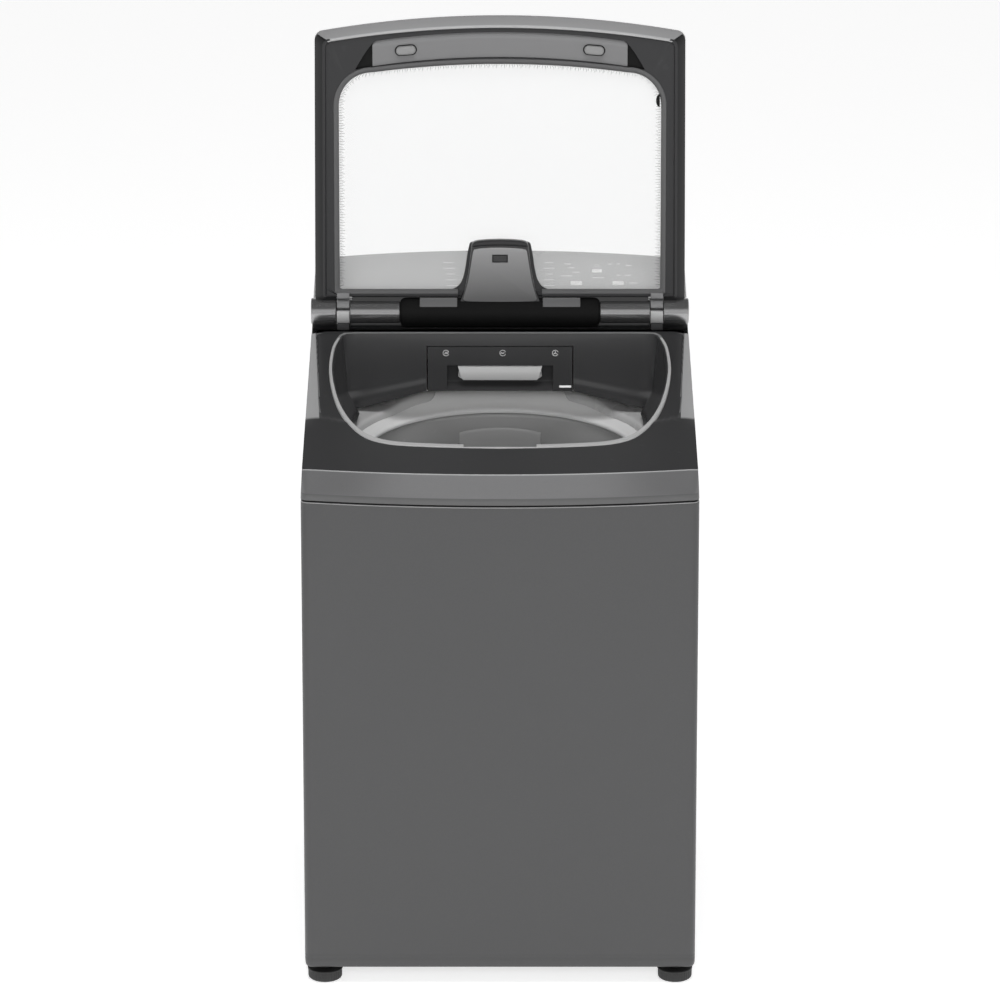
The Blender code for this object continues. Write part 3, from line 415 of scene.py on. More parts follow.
def resample(outline, count):
    """Even stations along a closed outline, from its first point."""
    loop = outline + [outline[0]]
    lengths = [0.0]
    for a, b in zip(loop, loop[1:]):
        lengths.append(lengths[-1] + math.dist(a, b))
    line, k = [], 0
    for i in range(count):
        goal = lengths[-1] * i / count
        while lengths[k + 1] < goal:
            k += 1
        t = (goal - lengths[k]) / max(1e-12, lengths[k + 1] - lengths[k])
        line.append(tuple(a + (b - a) * t for a, b in zip(loop[k], loop[k + 1])))
    return line


def levels(line, steps, stations=0):
    """Rows of the outline line(grow) at height v for each (grow, v)."""
    return [at_v(resample(line(grow), stations) if stations else line(grow), v) for grow, v in steps]


def slab(outline, low, high, turn=None):
    """A flat outline of (x, y) raised from low to high."""
    bm = solid([at_v(outline, low), at_v(outline, high)])
    if turn:
        bm.transform(turn)
    return bm


def block(low, high, turn=None):
    (x0, y0, z0), (x1, y1, z1) = low, high
    return slab([(x0, y0), (x1, y0), (x1, y1), (x0, y1)], z0, z1, turn)


def lathe(profile, steps, closed=True, ends=False, turn=None):
    """(radius, height) profile turned about Z."""
    rows = [circle(radius, height, steps) for radius, height in profile]
    if closed:
        rows.append(rows[0])
    bm = skin(rows, cap_first=ends, cap_last=ends)
    bmesh.ops.remove_doubles(bm, verts=bm.verts, dist=1e-6)
    if turn:
        bm.transform(turn)
    return bm


def mesh_of(name, bm):
    mesh = bpy.data.meshes.new(name)
    bm.to_mesh(mesh)
    bm.free()
    return mesh


def joined(*parts):
    """Several bmeshes in one."""
    whole = bmesh.new()
    for part in parts:
        mesh = mesh_of("part", part)
        whole.from_mesh(mesh)
        bpy.data.meshes.remove(mesh)
    return whole


def modify(obj, name, kind, **settings):
    made = obj.modifiers.new(name, kind)
    for key, value in settings.items():
        setattr(made, key, value)


def smooth_small_faces(mesh):
    """Round parts are shaded smooth and broad flat faces flat."""
    mesh.polygons.foreach_set("use_smooth", [face.area < FLAT_AREA for face in mesh.polygons])


def piece(name, bm, look, body, replaces=(), slot=None, bevel=0.0, segments=2, sharp=35.0, cut=(),
          turn=None, shell=0.0, keep_normals=False, place=None, warp=None, solver='EXACT', flat=False):
    """Finish a bmesh as a piece of the object; place moves it after the cuts. It rides on a body, or is left free where
    body is None."""
    if turn:
        bm.transform(turn)
    if not keep_normals:
        bmesh.ops.recalc_face_normals(bm, faces=bm.faces)
    obj = shown(name, mesh_of(name, bm))
    for look_name in ([look] if isinstance(look, str) else look):
        obj.data.materials.append(LOOK[look_name])
    if shell:
        modify(obj, "Shell", 'SOLIDIFY', thickness=shell, offset=-1.0)
    cutters = []
    for index, tool in enumerate(cut):
        bmesh.ops.recalc_face_normals(tool, faces=tool.faces)
        tool_name = f"{name}_cut_{index}"
        cutters.append(shown(tool_name, mesh_of(tool_name, tool)))
        modify(obj, "Cut", 'BOOLEAN', operation='DIFFERENCE', solver=solver, object=cutters[-1])
    if bevel:
        modify(obj, "Bevel", 'BEVEL', width=bevel, segments=segments, limit_method='ANGLE',
               angle_limit=math.radians(sharp))
    if obj.modifiers:
        bpy.context.view_layer.update()
        baked = bpy.data.meshes.new_from_object(obj.evaluated_get(bpy.context.evaluated_depsgraph_get()))
        obj.modifiers.clear()
        obj.data = baked
        for cutter in cutters:
            bpy.data.objects.remove(cutter, do_unlink=True)
    if place:
        obj.data.transform(place)
    if warp:
        for vertex in obj.data.vertices:
            vertex.co = warp(vertex.co)
    obj.data.set_sharp_from_angle(angle=math.radians(sharp))
    if flat:
        smooth_small_faces(obj.data)
    if body:
        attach(obj, body)
    if replaces:
        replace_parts(obj, *replaces)
    return obj


def lid_piece(name, bm, look, replaces=(), slot="gloss_black", **finish):
    """A piece drawn in the lid's shut frame and turned to the open stop."""
    return piece(name, bm, look, "lid", replaces, None if replaces else slot, place=LID_TURN, **finish)


ALONG_X = Matrix.Rotation(math.pi / 2, 4, 'Y')
ONTO_X = Matrix(((0, 0, 1, 0), (1, 0, 0, 0), (0, 1, 0, 0), (0, 0, 0, 1)))  # outline (x, y) to (y, z), height to X


# ---------------------------------------------------------------- shape of the shell
def deck_z(y):
    return DECK_FRONT_Z + (y - DECK_FRONT_Y) * DECK_SLOPE


def seam_z(x, y):
    """Height of the seam: it dips only across the front."""
    if y > -HALF_D + CORNER_R:
        return SEAM_SIDE
    return SEAM_SIDE - SEAM_DIP * (1 - min(1.0, abs(x) / (HALF_W - CORNER_R)) ** 2)


def side_x(z):
    return HALF_W - SIDE_LEAN * max(0.0, z - SEAM_SIDE)


def front_path(spans=40, corner=14, inset=0.0):
    """Plan outline of the front: corner arcs and the straight between them, left to right."""
    inner_x, inner_y = HALF_W - CORNER_R, -HALF_D + CORNER_R
    radius = CORNER_R - inset
    straight = [(-inner_x + 2 * inner_x * i / spans, -HALF_D + inset) for i in range(1, spans)]
    return (arc((-inner_x, inner_y), radius, 180, 270, corner) + straight
            + arc((inner_x, inner_y), radius, 270, 360, corner))


def opening_half():
    """Right half of the opening's plan outline, from front centre to rear centre."""
    points = [(0.0, -0.247), (0.110, -0.242), (0.185, -0.230), (0.228, -0.194), (0.260, -0.116),
              (0.276, -0.010), (0.274, 0.075), (0.263, 0.121)]
    return smooth(points, 10) + [(0.255, 0.129), (0.235, 0.130), (0.118, 0.130), (0.0, 0.130)]


def opening(narrow=0.0, front=0.0, rear=0.0):
    """Opening outline drawn in by narrow at the sides and front and rear at its ends."""
    wide, low, high = 0.277, -0.247, 0.130
    k = (high - rear - low - front) / (high - low)
    return mirrored([(x * (1 - narrow / wide), low + front + (y - low) * k) for x, y in opening_half()])


# ---------------------------------------------------------------- cabinet
def make_cabinet():
    """Painted wrap with rolled hems at the foot and a folded edge under the seam, that edge carrying a painted
    highlight.
    """
    back_y = HALF_D - 0.002
    foot = [(0.030, 0.0060), (0.0282, 0.0045), (0.0290, 0.0022), (0.0325, 0.0006), (0.040, 0.0), (0.044, 0.0),
            (0.0452, 0.0005), (0.0464, 0.0), (0.049, 0.0), (0.0502, 0.0004), (0.0514, 0.0), (0.400, 0.0)]
    under_seam = [(-0.0058, 0.0), (-0.0040, 0.0002), (-0.0028, 0.0011), (-0.0024, 0.0026), (-0.0024, 0.0065)]
    rows = []
    for height, inset in foot + under_seam:
        side = [(-0.288, back_y - inset), (-HALF_W + 0.0045, back_y - inset),
                (-HALF_W + 0.001 + inset, back_y - 0.0015)]
        side += [(-HALF_W + inset, HALF_D - 0.0065 - 0.06 * i) for i in range(11)]
        path = side + front_path(inset=inset) + [(-x, y) for x, y in reversed(side)]
        rows.append([(x, y, seam_z(x, y) + height if height < 0 else height) for x, y in path])
    bm = skin(rows, looped=False)
    # The folded edge's row of faces takes the painted highlight.
    highlight_row = len(foot) + 1
    for index, face in enumerate(bm.faces):
        if index // (len(path) - 1) == highlight_row:
            face.material_index = 1
    piece("cabinet_wrap", bm, ["paint", "painted_edge_highlight"], "root", ("cabinet_shell",), sharp=50)

    tuck = 0.0035
    end_x, end_y = HALF_W - tuck, HALF_D - 0.01
    path = [(-end_x, end_y)] + front_path(inset=tuck) + [(end_x, end_y)]
    rows = [[(x, y, seam_z(x, y) + rise) for x, y in path] for rise in (-0.012, 0.004)]
    piece("seam_gasket", skin(rows, looped=False), "black", "root", slot="base_plastic", shell=0.0008)

    screws = [screw_head((side * (HALF_W - 0.0003), 0.318, z), (side, 0, 0))
              for side, _ in SIDES for z in (0.110, 0.440, 0.770)]
    piece("side_screws", joined(*screws), "steel", "root", slot="steel", sharp=30)


def screw_head(at, out):
    """A pan head with a shallow recess."""
    profile = [(0.0, 0.0009), (0.30, 0.0009), (0.36, 0.0012), (0.7, 0.0011), (0.93, 0.0006), (1.0, 0.0),
               (1.0, -0.0004)]
    aim = Vector(out).to_track_quat('Z', 'Y').to_matrix().to_4x4()
    return lathe([(SCREW_R * share, z) for share, z in profile], 20, closed=False,
                 turn=Matrix.Translation(at) @ aim)


# ---------------------------------------------------------------- top console
def cast(centre, aim, outline):
    """Where the ray from centre through aim leaves the closed outline."""
    best = None
    dx, dy = aim[0] - centre[0], aim[1] - centre[1]
    for (ax, ay), (bx, by) in zip(outline, outline[1:] + outline[:1]):
        ex, ey = bx - ax, by - ay
        cross = dx * ey - dy * ex
        if abs(cross) < 1e-12:
            continue
        t = ((ax - centre[0]) * ey - (ay - centre[1]) * ex) / cross
        s = ((ax - centre[0]) * dy - (ay - centre[1]) * dx) / cross
        if t > 0 and -1e-9 <= s <= 1 + 1e-9 and (best is None or t > best):
            best = t
    return centre[0] + dx * best, centre[1] + dy * best


def landing(x, y):
    """Depth of the shallow landing beside the opening, where the lid's legs come to rest."""
    edge_x = 0.2960 + 0.0446 * y
    inside = smoothstep((edge_x - abs(x)) / 0.0022)
    front = -0.148 - 0.012 * smoothstep((edge_x - abs(x)) / 0.045)
    return 0.0026 * inside * smoothstep((y - front) / 0.0040)


def shoulder(x, y):
    """How far the deck rolls down towards its side edges; it fades out at the front."""
    reach = 0.026
    out = max(0.0, abs(x) - (side_x(deck_z(y)) - reach)) / reach
    return 0.0065 * out * out * smoothstep((y + 0.190) / 0.10)


def make_top_console():
    """Bowed front band with a painted highlight along its upper edge, leaning sides, rolled shoulders and sunk
    landings.
    """
    rear_y = CONSOLE[1].y
    sides = [(-HALF_W, rear_y - 0.0095 * i) for i in range(49) if rear_y - 0.0095 * i > -HALF_D + CORNER_R + 0.002]
    path = sides + front_path() + [(-x, y) for x, y in reversed(sides)]
    path += [(HALF_W - 2 * HALF_W * i / 60, rear_y) for i in range(1, 60)]

    def leaned(x, y, z):
        return x * side_x(z) / HALF_W, y, z

    walls, tops = [], []
    for x, y in path:
        if y >= rear_y - 1e-9 and abs(x) < HALF_W - 1e-9:
            tops.append(leaned(x, rear_y, deck_z(rear_y)))
            flat, _, z = tops[-1]
            walls.append([(flat, rear_y, z - drop) for drop in (0.028, 0.024, 0.016, 0.008, 0.004, 0.0015, 0.0004)])
            continue
        forward = max(0.0, 1 - (y + HALF_D) / CORNER_R)
        edge_y = DECK_FRONT_Y + BAND_BOW * min(1.0, abs(x) / (HALF_W - CORNER_R)) ** 2
        top_y = max(edge_y, y + (edge_y + HALF_D) * forward)
        top_z = deck_z(top_y)
        top_z -= shoulder(x * side_x(top_z) / HALF_W, top_y)
        tops.append(leaned(x, top_y, top_z))
        low = seam_z(x, y)
        crease = low + STRIP_H
        wall = [leaned(x, y + back * forward, z) for z, back in
                ((low + 0.0004, 0.0006), (low + 0.0014, 0.0), (crease - 0.0008, 0.0), (crease + 0.0004, 0.0006))]
        wall += [leaned(x, y + (top_y - y) * share, crease + (top_z - crease) * share)
                 for share in (0.30, 0.88, 0.955)]
        walls.append(wall)
    rows = [list(row) for row in zip(*walls)]
    hole = opening(-0.0004, -0.0004, -0.0004)
    inner_points = [cast((0.0, -0.050), top[:2], hole) for top in tops]
    for share in [0.0, 0.012, 0.03, 0.06] + [0.1 + 0.04 * i for i in range(23)]:
        row = []
        for (x0, y0, _), (x1, y1) in zip(tops, inner_points):
            x, y = x0 + (x1 - x0) * share, y0 + (y1 - y0) * share
            row.append((x, y, deck_z(y) - landing(x, y) - shoulder(x, y)))
        rows.append(row)
    rows.append([(x, y, z - 0.006) for x, y, z in rows[-1]])
    bm = skin(rows)
    bmesh.ops.recalc_face_normals(bm, faces=bm.faces)
    # Up-facing faces take the deck's dark satin (painted shade), the lowest rings a darker strip paint (painted shade),
    # and the band's top row in front a painted highlight.
    for index, face in enumerate(bm.faces):
        ring, at = index // len(path), face.calc_center_median()
        if abs(face.normal.z) > 0.80:
            face.material_index = 1
        elif ring < 3:
            face.material_index = 2
        elif ring == 6 and at.y < -0.30:
            face.material_index = 3
    piece("top_shell", bm, ["band", "deck", "strip", "painted_edge_highlight"], "root", ("top_console",), sharp=38)


def rim_foot(y):
    """Height of the trim's lower edge: shallow at the back and sides, deep in front."""
    return deck_z(y) - 0.0006 - 0.0010 * smoothstep((0.12 - y) / 0.05) - 0.0044 * smoothstep((-0.12 - y) / 0.09)


def make_rim():
    """Light ring let into the deck, wide in front, with the finger notch."""
    stations = [(-0.0010, -0.0010, -0.0010, -0.0040), (0.0, 0.0, 0.0, 0.0002), (0.0004, 0.0005, 0.0002, 0.0006),
                (0.0012, 0.0014, 0.0004, 0.0007), (0.0036, 0.0088, 0.0008, 0.0006),
                (0.0043, 0.0097, 0.0010, 0.0002), (0.0045, 0.0100, 0.0011, -0.0004)]
    rows = [[(x, y, deck_z(y) + rise - (landing(x, y) if rise < 0 else 0.0)) for x, y in opening(*drawn_in)]
            for *drawn_in, rise in stations]
    rows.append([(x, y, rim_foot(y)) for x, y in opening(0.0046, 0.0101, 0.0012)])
    rows.append(rows[0])
    notch = block((-0.058, -0.2445, deck_z(-0.240) - 0.0040), (0.058, -0.2300, deck_z(-0.240) + 0.02))
    bm = skin(rows)
    # The trim's rear run takes the darker grey as painted shade under the lid's bar.
    for face in bm.faces:
        if face.calc_center_median().y > 0.110:
            face.material_index = 1
    piece("opening_trim", bm, ["light", "grey"], "root", ("opening_rim",), sharp=45, cut=[notch])


def wall_point(x, y, t):
    """The opening's wall below (x, y) of its outline, at share t of the way to its foot."""
    back = smoothstep((y - 0.085) / 0.035)
    foot_x = x * (0.885 + 0.075 * back)
    foot_y = y * (1 - back) * 0.975 + 0.122 * back - 0.004 * (1 - back)
    foot_z = COLLAR[0].z + 0.0300 * back * (1 - smoothstep((abs(x) - 0.150) / 0.095))
    draw = t * t * (1 - back) + t * back
    fold = 0.60 + 0.16 * smoothstep((abs(x) - 0.150) / 0.10)
    ledge = smoothstep((t - fold) / 0.16) * (1 - smoothstep((-y - 0.02) / 0.08))
    ledge *= smoothstep((abs(x) - 0.121) / 0.05)
    px, py = x + (foot_x - x) * draw, y + (foot_y - y) * draw
    toward = Vector((-px, -0.02 - py)).normalized()
    return (px + toward.x * 0.0060 * ledge, py + toward.y * 0.0060 * ledge,
            rim_foot(y) + (foot_z - rim_foot(y)) * t)


def make_collar():
    """Glossy wall of the opening, drawn in to the tub, with a stepped foot and the drawer's mouth."""
    top = opening(narrow=0.0046, front=0.0101, rear=0.0013)
    shares = [0.0, 0.004, 0.03] + [0.06 + 0.94 * k / 30 for k in range(31)]
    rows = [[wall_point(x, y, t) for x, y in top] for t in shares]
    half = (DRAWER[1].x - DRAWER[0].x) / 2
    mouth = block((-half - 0.0006, 0.10, DRAWER[0].z - 0.006), (half + 0.0006, 0.16, DRAWER[1].z + 0.0006))
    piece("opening_wall", skin(rows), "collar", "root", ("opening_collar",), sharp=60, shell=0.0020,
          cut=[mouth])


# ---------------------------------------------------------------- tub and basket
def ring_lift(radius, angle):
    """How far the ring's outer part rises behind, under the drawer."""
    return 0.0185 * smoothstep((math.sin(angle) - 0.66) / 0.22) * smoothstep((radius - 0.222) / 0.034)


def lifted(radius, angle, height):
    return around(radius, angle, height + ring_lift(radius, angle))


def make_tub_cover():
    """Moulded ring over the tub with a raised wing along each side."""
    outer, inner, steps = 0.271, 0.218, 176
    profile = [(inner, 0.7962), (inner - 0.0006, 0.7985), (inner - 0.0004, 0.8005), (inner + 0.0006, 0.8024),
               (inner + 0.0022, 0.8036), (inner + 0.0050, 0.8050), (inner + 0.0090, 0.8062),
               (inner + 0.0140, 0.8076), (inner + 0.0190, 0.8090), (inner + 0.0240, 0.8102),
               (inner + 0.0290, 0.8110), (inner + 0.0350, 0.8114), (outer - 0.010, 0.8116), (outer - 0.004, 0.8114),
               (outer - 0.0012, 0.8102), (outer, 0.8085), (outer, 0.7904), (outer - 0.003, 0.7904),
               (outer - 0.003, 0.8075), (outer - 0.006, 0.8088), (inner + 0.024, 0.8085),
               (inner + 0.008, 0.8034), (inner + 0.003, 0.8000), (inner + 0.003, 0.7962)]
    rows = [[lifted(radius, 2 * math.pi * i / steps, z) for i in range(steps)] for radius, z in profile]
    rows.append(rows[0])
    piece("tub_ring", skin(rows), "ring", "tub", ("tub_cover",), turn=AT_TUB, sharp=45)

    base = 0.8100
    for side, name in ((0, "right"), (180, "left")):
        rows = []
        for inset, rise in ((0.0, 0.8100), (0.0, 0.8150), (0.0008, 0.8185), (0.0026, 0.8210), (0.0060, 0.8219),
                            (0.0100, 0.8221)):
            reach = 66.0 - math.degrees(inset / 0.25)
            low, high = 0.2388 + inset, 0.2960 - inset
            middle, half = (low + high) / 2, (high - low) / 2
            round_end = math.degrees(half / middle)
            line = []
            for sign, radius in ((1, high), (-1, low)):
                line += [(radius, sign * (-reach + round_end + 2 * (reach - round_end) * k / 48)) for k in range(49)]
                for k in range(1, 12):
                    a = sign * (math.pi / 2 - math.pi * k / 12)
                    line.append((middle + half * math.sin(a), sign * (reach - round_end + round_end * math.cos(a))))
            rows.append([lifted(r, math.radians(side + a),
                                base + (rise - base) * (0.40 + 0.60 * smoothstep((67 - abs(a)) / 22)))
                         for r, a in line])
        piece(f"tub_ring_wing_{name}", skin(rows, cap_last=True), "wing", "tub", slot="light_plastic",
              turn=AT_TUB, sharp=50)


def make_balance_ring():
    low, high = RING[0].z, RING[1].z
    inner, outer = 0.2240, 0.2520
    profile = [(inner, low), (inner - 0.0003, low + 0.006), (inner, high - 0.006), (inner + 0.0012, high - 0.002),
               (inner + 0.0035, high), (outer - 0.0035, high), (outer - 0.0010, high - 0.002),
               (outer, high - 0.006), (outer, low + 0.012), (outer, low + 0.011),
               (outer - 0.0008, low + 0.010), (outer - 0.0008, low)]
    piece("balancer", lathe(profile, 128), "light", "basket", ("balance_ring",), turn=AT_TUB, sharp=40)


def holed_wall(radius, low, high, columns, rows_of_holes, hole, skip):
    """A round wall whose grid cells each carry one drain hole; skip says which cells stay whole."""
    bm = bmesh.new()
    cell_w, cell_h = 2 * math.pi * radius / columns, (high - low) / rows_of_holes
    wave = 0.0016
    corners = [(-0.5, -0.5), (0, -0.5), (0.5, -0.5), (0.5, 0), (0.5, 0.5), (0, 0.5), (-0.5, 0.5), (-0.5, 0)]
    angles = [-math.pi * 0.75 + k * math.pi / 4 for k in range(8)]

    def at(s, z):
        a = s / radius
        return bm.verts.new(around(radius - wave * (0.5 - 0.5 * math.cos(a * columns / 2.0)), a, z))

    for i in range(columns):
        for j in range(rows_of_holes):
            s, z = (i + 0.5) * cell_w, low + (j + 0.5) * cell_h
            outer = [at(s + u * cell_w, z + v * cell_h) for u, v in corners]
            if skip(i, j):
                bm.faces.new(outer)
                continue
            ring = [at(s + hole * math.cos(angle), z + hole * math.sin(angle)) for angle in angles]
            for k in range(8):
                bm.faces.new((outer[k], outer[(k + 1) % 8], ring[(k + 1) % 8], ring[k]))
    bmesh.ops.remove_doubles(bm, verts=bm.verts, dist=2e-5)
    return bm


def make_basket():
    """Wash basket: fluted wall with drain holes, ribbed floor and a rolled lip."""
    radius, top, low, steps = 0.2475, 0.7438, 0.2310, 128
    wall = holed_wall(radius, low + 0.010, top - 0.030, 64, 20, 0.0036,
                      lambda i, j: i % 8 in (3, 4) or j in (0, 19))
    band = skin([circle(radius, z, steps) for z in (top - 0.030, top - 0.0285, top - 0.004, top)])
    floor = lathe([(radius, low + 0.010), (radius, low), (radius - 0.006, low - 0.010),
                   (radius - 0.018, low - 0.0195), (0.200, low - 0.0205), (0.180, low - 0.0180),
                   (0.160, low - 0.0205), (0.033, low - 0.0210)], steps, closed=False)
    piece("wash_basket", joined(wall, band, floor), "tub_grey", "basket", ("basket",), turn=AT_TUB, sharp=40,
          shell=0.0015, keep_normals=True)


def filter_pad(back):
    """Pad on the basket's wall, its front face smaller than its rear, with a raised grille."""
    bm = bmesh.new()
    grids = []
    for depth, spread, low, high, round_by in ((0.0010, 18.3, 0.560, 0.7355, 0.0), (0.0130, 17.0, 0.562, 0.733, 0.6)):
        grid = [[bm.verts.new(around(back - depth, math.radians(90 + (-1 + 2 * k / 16) * (spread - tight)), z))
                 for k in range(17)]
                for z, tight in ((low, round_by), (low + 0.006, 0.0), (high - 0.006, 0.0), (high, round_by))]
        grids.append(grid)
    for grid in grids:
        for a, b in zip(grid, grid[1:]):
            for i in range(16):
                bm.faces.new((a[i], a[i + 1], b[i + 1], b[i]))
    rear, front = (g[0] + [g[k][16] for k in (1, 2, 3)] + g[3][15::-1] + [g[k][0] for k in (2, 1)] for g in grids)
    for i in range(len(rear)):
        j = (i + 1) % len(rear)
        bm.faces.new((rear[i], rear[j], front[j], front[i]))
    bars = [block((back - 0.0146, -0.0022, 0.585), (back - 0.0120, 0.0022, 0.705),
                  Matrix.Rotation(math.radians(90 - 12 + 3 * k), 4, 'Z')) for k in range(9)]
    return joined(bm, *bars)


def make_filter():
    """Filter cover on the basket's rear wall: a framed pad with a raised grille under a curved head."""
    spread = 17.6
    head = []
    for share in (0.0, 0.5, 0.9, 0.97, 1.0):
        radius = 0.2222 + (0.0012 if share == 1.0 else 0.0)
        angles = [-spread + 2 * spread * k / 24 for k in range(25)]
        head.append([around(radius, math.radians(90 + a), 0.700 + (0.0690 - 0.0055 * (a / spread) ** 2) * share)
                     for a in angles])
    gap = [[(x * 1.006 * 1.03, y * 1.006, z + (0.0016 if index == 4 else 0.0)) for x, y, z in row]
           for index, row in enumerate(head)]
    piece("filter_head_gap", skin(gap, looped=False), "grey", "basket", slot="grey_plastic", turn=AT_TUB,
          shell=0.0008, sharp=40)
    piece("filter_head", skin(head, looped=False), "wing", "basket", slot="basket_plastic", turn=AT_TUB,
          shell=0.0026, sharp=40)
    piece("filter_cover", filter_pad(0.2440), "tub_grey", "basket", ("lint_filter",), turn=AT_TUB,
          bevel=0.0008, sharp=40)


def make_agitator():
    """Post with spiral vanes over a skirt with four long fins."""
    outer = smooth([(0.0, 0.6015), (0.020, 0.6005), (0.034, 0.5965), (0.0445, 0.575), (0.0490, 0.460),
                    (0.0570, 0.340), (0.0840, 0.275), (0.139, 0.246), (0.1945, 0.2365)], 6)
    lip = [(0.1957, 0.2340), (0.1957, 0.2260), (0.1935, 0.2255), (0.1932, 0.2320)]
    under = [(0.139, 0.2420), (0.082, 0.2700), (0.054, 0.338), (0.046, 0.460), (0.042, 0.560), (0.0, 0.585)]
    bodies = [lathe(outer + lip + under, 96, closed=False)]
    crest = smooth([(0.046, 0.498), (0.062, 0.430), (0.082, 0.360), (0.120, 0.300), (0.160, 0.272),
                    (0.1825, 0.262)], 4)
    root = smooth([(0.040, 0.480), (0.046, 0.380), (0.062, 0.300), (0.110, 0.256), (0.150, 0.243),
                   (0.1825, 0.2370)], 4)
    for k in range(4):
        rows = [[(r0 + (r1 - r0) * lift, half, z0 + (z1 - z0) * lift) for (r1, z1), (r0, z0) in zip(crest, root)]
                for half, lift in ((0.0052, 0.0), (0.0036, 0.75), (0.0020, 0.96), (0.0, 1.0), (-0.0020, 0.96),
                                   (-0.0036, 0.75), (-0.0052, 0.0))]
        fin = skin(rows, looped=False)
        fin.transform(Matrix.Rotation(math.pi / 2 * k, 4, 'Z'))
        bodies.append(fin)
    for k in range(3):
        rows = []
        for i in range(25):
            angle = 2 * math.pi * k / 3 + math.radians(110) * i / 24
            base = 0.0455 + 0.0035 * i / 24
            fade = smoothstep(i / 5) * smoothstep((24 - i) / 5)
            rows.append([around(base + out * fade, angle + turn, 0.575 - 0.115 * i / 24) for out, turn in
                         ((-0.002, -0.09), (0.0030, -0.05), (0.0042, 0.0), (0.0030, 0.05), (-0.002, 0.09))])
        bodies.append(skin(rows, looped=False))
    piece("wash_agitator", joined(*bodies), "tub_grey", "agitator", ("agitator",), turn=AT_TUB, sharp=45)


# ---------------------------------------------------------------- drawer in the opening's back wall
def flush_with_wall(point):
    """Leans the drawer's upright face back so that it lies in the opening's rear wall."""
    share = (0.9546 - point.z) / 0.0991
    return Vector((point.x, point.y + 0.1283 - 0.006 * share - DRAWER[0].y, point.z))


def drawer_piece(name, bm, look, replaces=(), slot=None, **finish):
    piece(name, bm, look, "drawer", replaces, slot, warp=flush_with_wall, **finish)


def stroke(points, width, y):
    """A printed line through (x, z) points in the upright plane at y."""
    rows = [[], []]
    for i, point in enumerate(points):
        before, after = Vector(points[max(0, i - 1)]), Vector(points[min(len(points) - 1, i + 1)])
        along = (after - before).normalized()
        across = Vector((-along.y, along.x)) * width / 2
        for row, sign in zip(rows, (-1, 1)):
            at = Vector(point) + across * sign
            row.append((at.x, y, at.y))
    return skin(rows, looped=False)


def make_drawer():
    """Drawer face with its pocket, slanted grip, small release tab and three generic marks."""
    low, high = DRAWER
    half, front, middle = (high.x - low.x) / 2, low.y, (low.z + high.z) / 2
    face = block((-half + 0.0009, front, low.z), (half - 0.0009, front + 0.0222, high.z - 0.0010))
    ceiling, pocket_half = middle + 0.0050, 0.0868
    hollow = [(front - 0.01, ceiling), (front - 0.01, low.z + 0.0012), (front, low.z + 0.0012),
              (front + 0.0190, low.z + 0.0110), (front + 0.0190, ceiling)]
    drawer_piece("drawer_face", face, "collar", ("drawer_front",), bevel=0.0007, segments=3,
                 cut=[slab(hollow, -pocket_half, pocket_half, ONTO_X)], flat=True)

    rows = []
    for y, z, pull in ((0.0018, 0.0040, 0.0), (0.0030, 0.0050, 0.0), (0.0100, 0.0050, 0.0), (0.0180, 0.0030, 0.0),
                       (0.0180, -0.0010, 0.0030), (0.0125, -0.0095, 0.0006), (0.0092, -0.0146, 0.0004),
                       (0.0080, -0.0165, 0.0030), (0.0070, -0.0180, 0.0075), (0.0040, -0.0196, 0.0090),
                       (0.0022, -0.0190, 0.0090), (0.0014, -0.0160, 0.0060)):
        reach, count = 0.0690 - pull, 24
        rows.append([(-reach + 2 * reach * k / count, front + y - 0.0006, middle - 0.0008 + z)
                     for k in range(count + 1)])
    rows.append(rows[0])
    drawer_piece("drawer_pull", skin(rows, looped=False), "grip", ("drawer_grip",), sharp=50)
    tab = block((half - 0.0225, front - 0.0014, low.z + 0.0060), (half - 0.0025, front + 0.0020, low.z + 0.0096))
    drawer_piece("drawer_release_tab", tab, "white", slot="white_plastic", bevel=0.0006)

    left, centre, right = -0.0885, 0.0045, 0.0905
    z = high.z - 0.0116
    lines = [([(x + px, z + pz) for px, pz in arc((0, 0), 0.0048, 20, 340, 20)], 0.0006) for x in (left, centre, right)]
    for k in range(3):
        lines.append(([(-0.0905 + 0.0022 * k, z - 0.0018), (-0.0892 + 0.0022 * k, z + 0.0020)], 0.0007))
        angle = math.radians(90 + 120 * k)
        lines.append(([(right, z), (right + 0.0032 * math.cos(angle), z + 0.0032 * math.sin(angle))], 0.0009))
    lines.append(([(0.0010, z - 0.0012), (0.0028, z + 0.0008), (0.0048, z - 0.0010), (0.0070, z + 0.0010)], 0.0009))
    marks = [stroke(points, width, front - 0.00025) for points, width in lines]
    drawer_piece("drawer_marks", joined(*marks), "print", slot="white_plastic")


# ---------------------------------------------------------------- lid, in its own shut frame
def lid_outline(inset=0.0, back=0.0065, points=26):
    """Closed plan outline of the lid, drawn in by inset, as (x, -u)."""
    edge, corner = 0.3030 - inset, max(0.008, 0.0145 - inset * 0.25)
    tip = 0.4900 - inset
    front_x = edge - 0.0015
    bow = [(x, -(tip - 0.026 * (x / 0.296) ** 2)) for x in
           [(front_x - corner) * (1 - k / points) for k in range(points + 1)]]
    pivot = (front_x - corner, bow[0][1] + corner)
    side = [(edge - 0.0015 * k / 10, -back + (pivot[1] + back) * k / 10) for k in range(10)]
    return mirrored([(0.0, -back), (0.268, -back)] + side + arc(pivot, corner, 0, -84, 12) + bow)


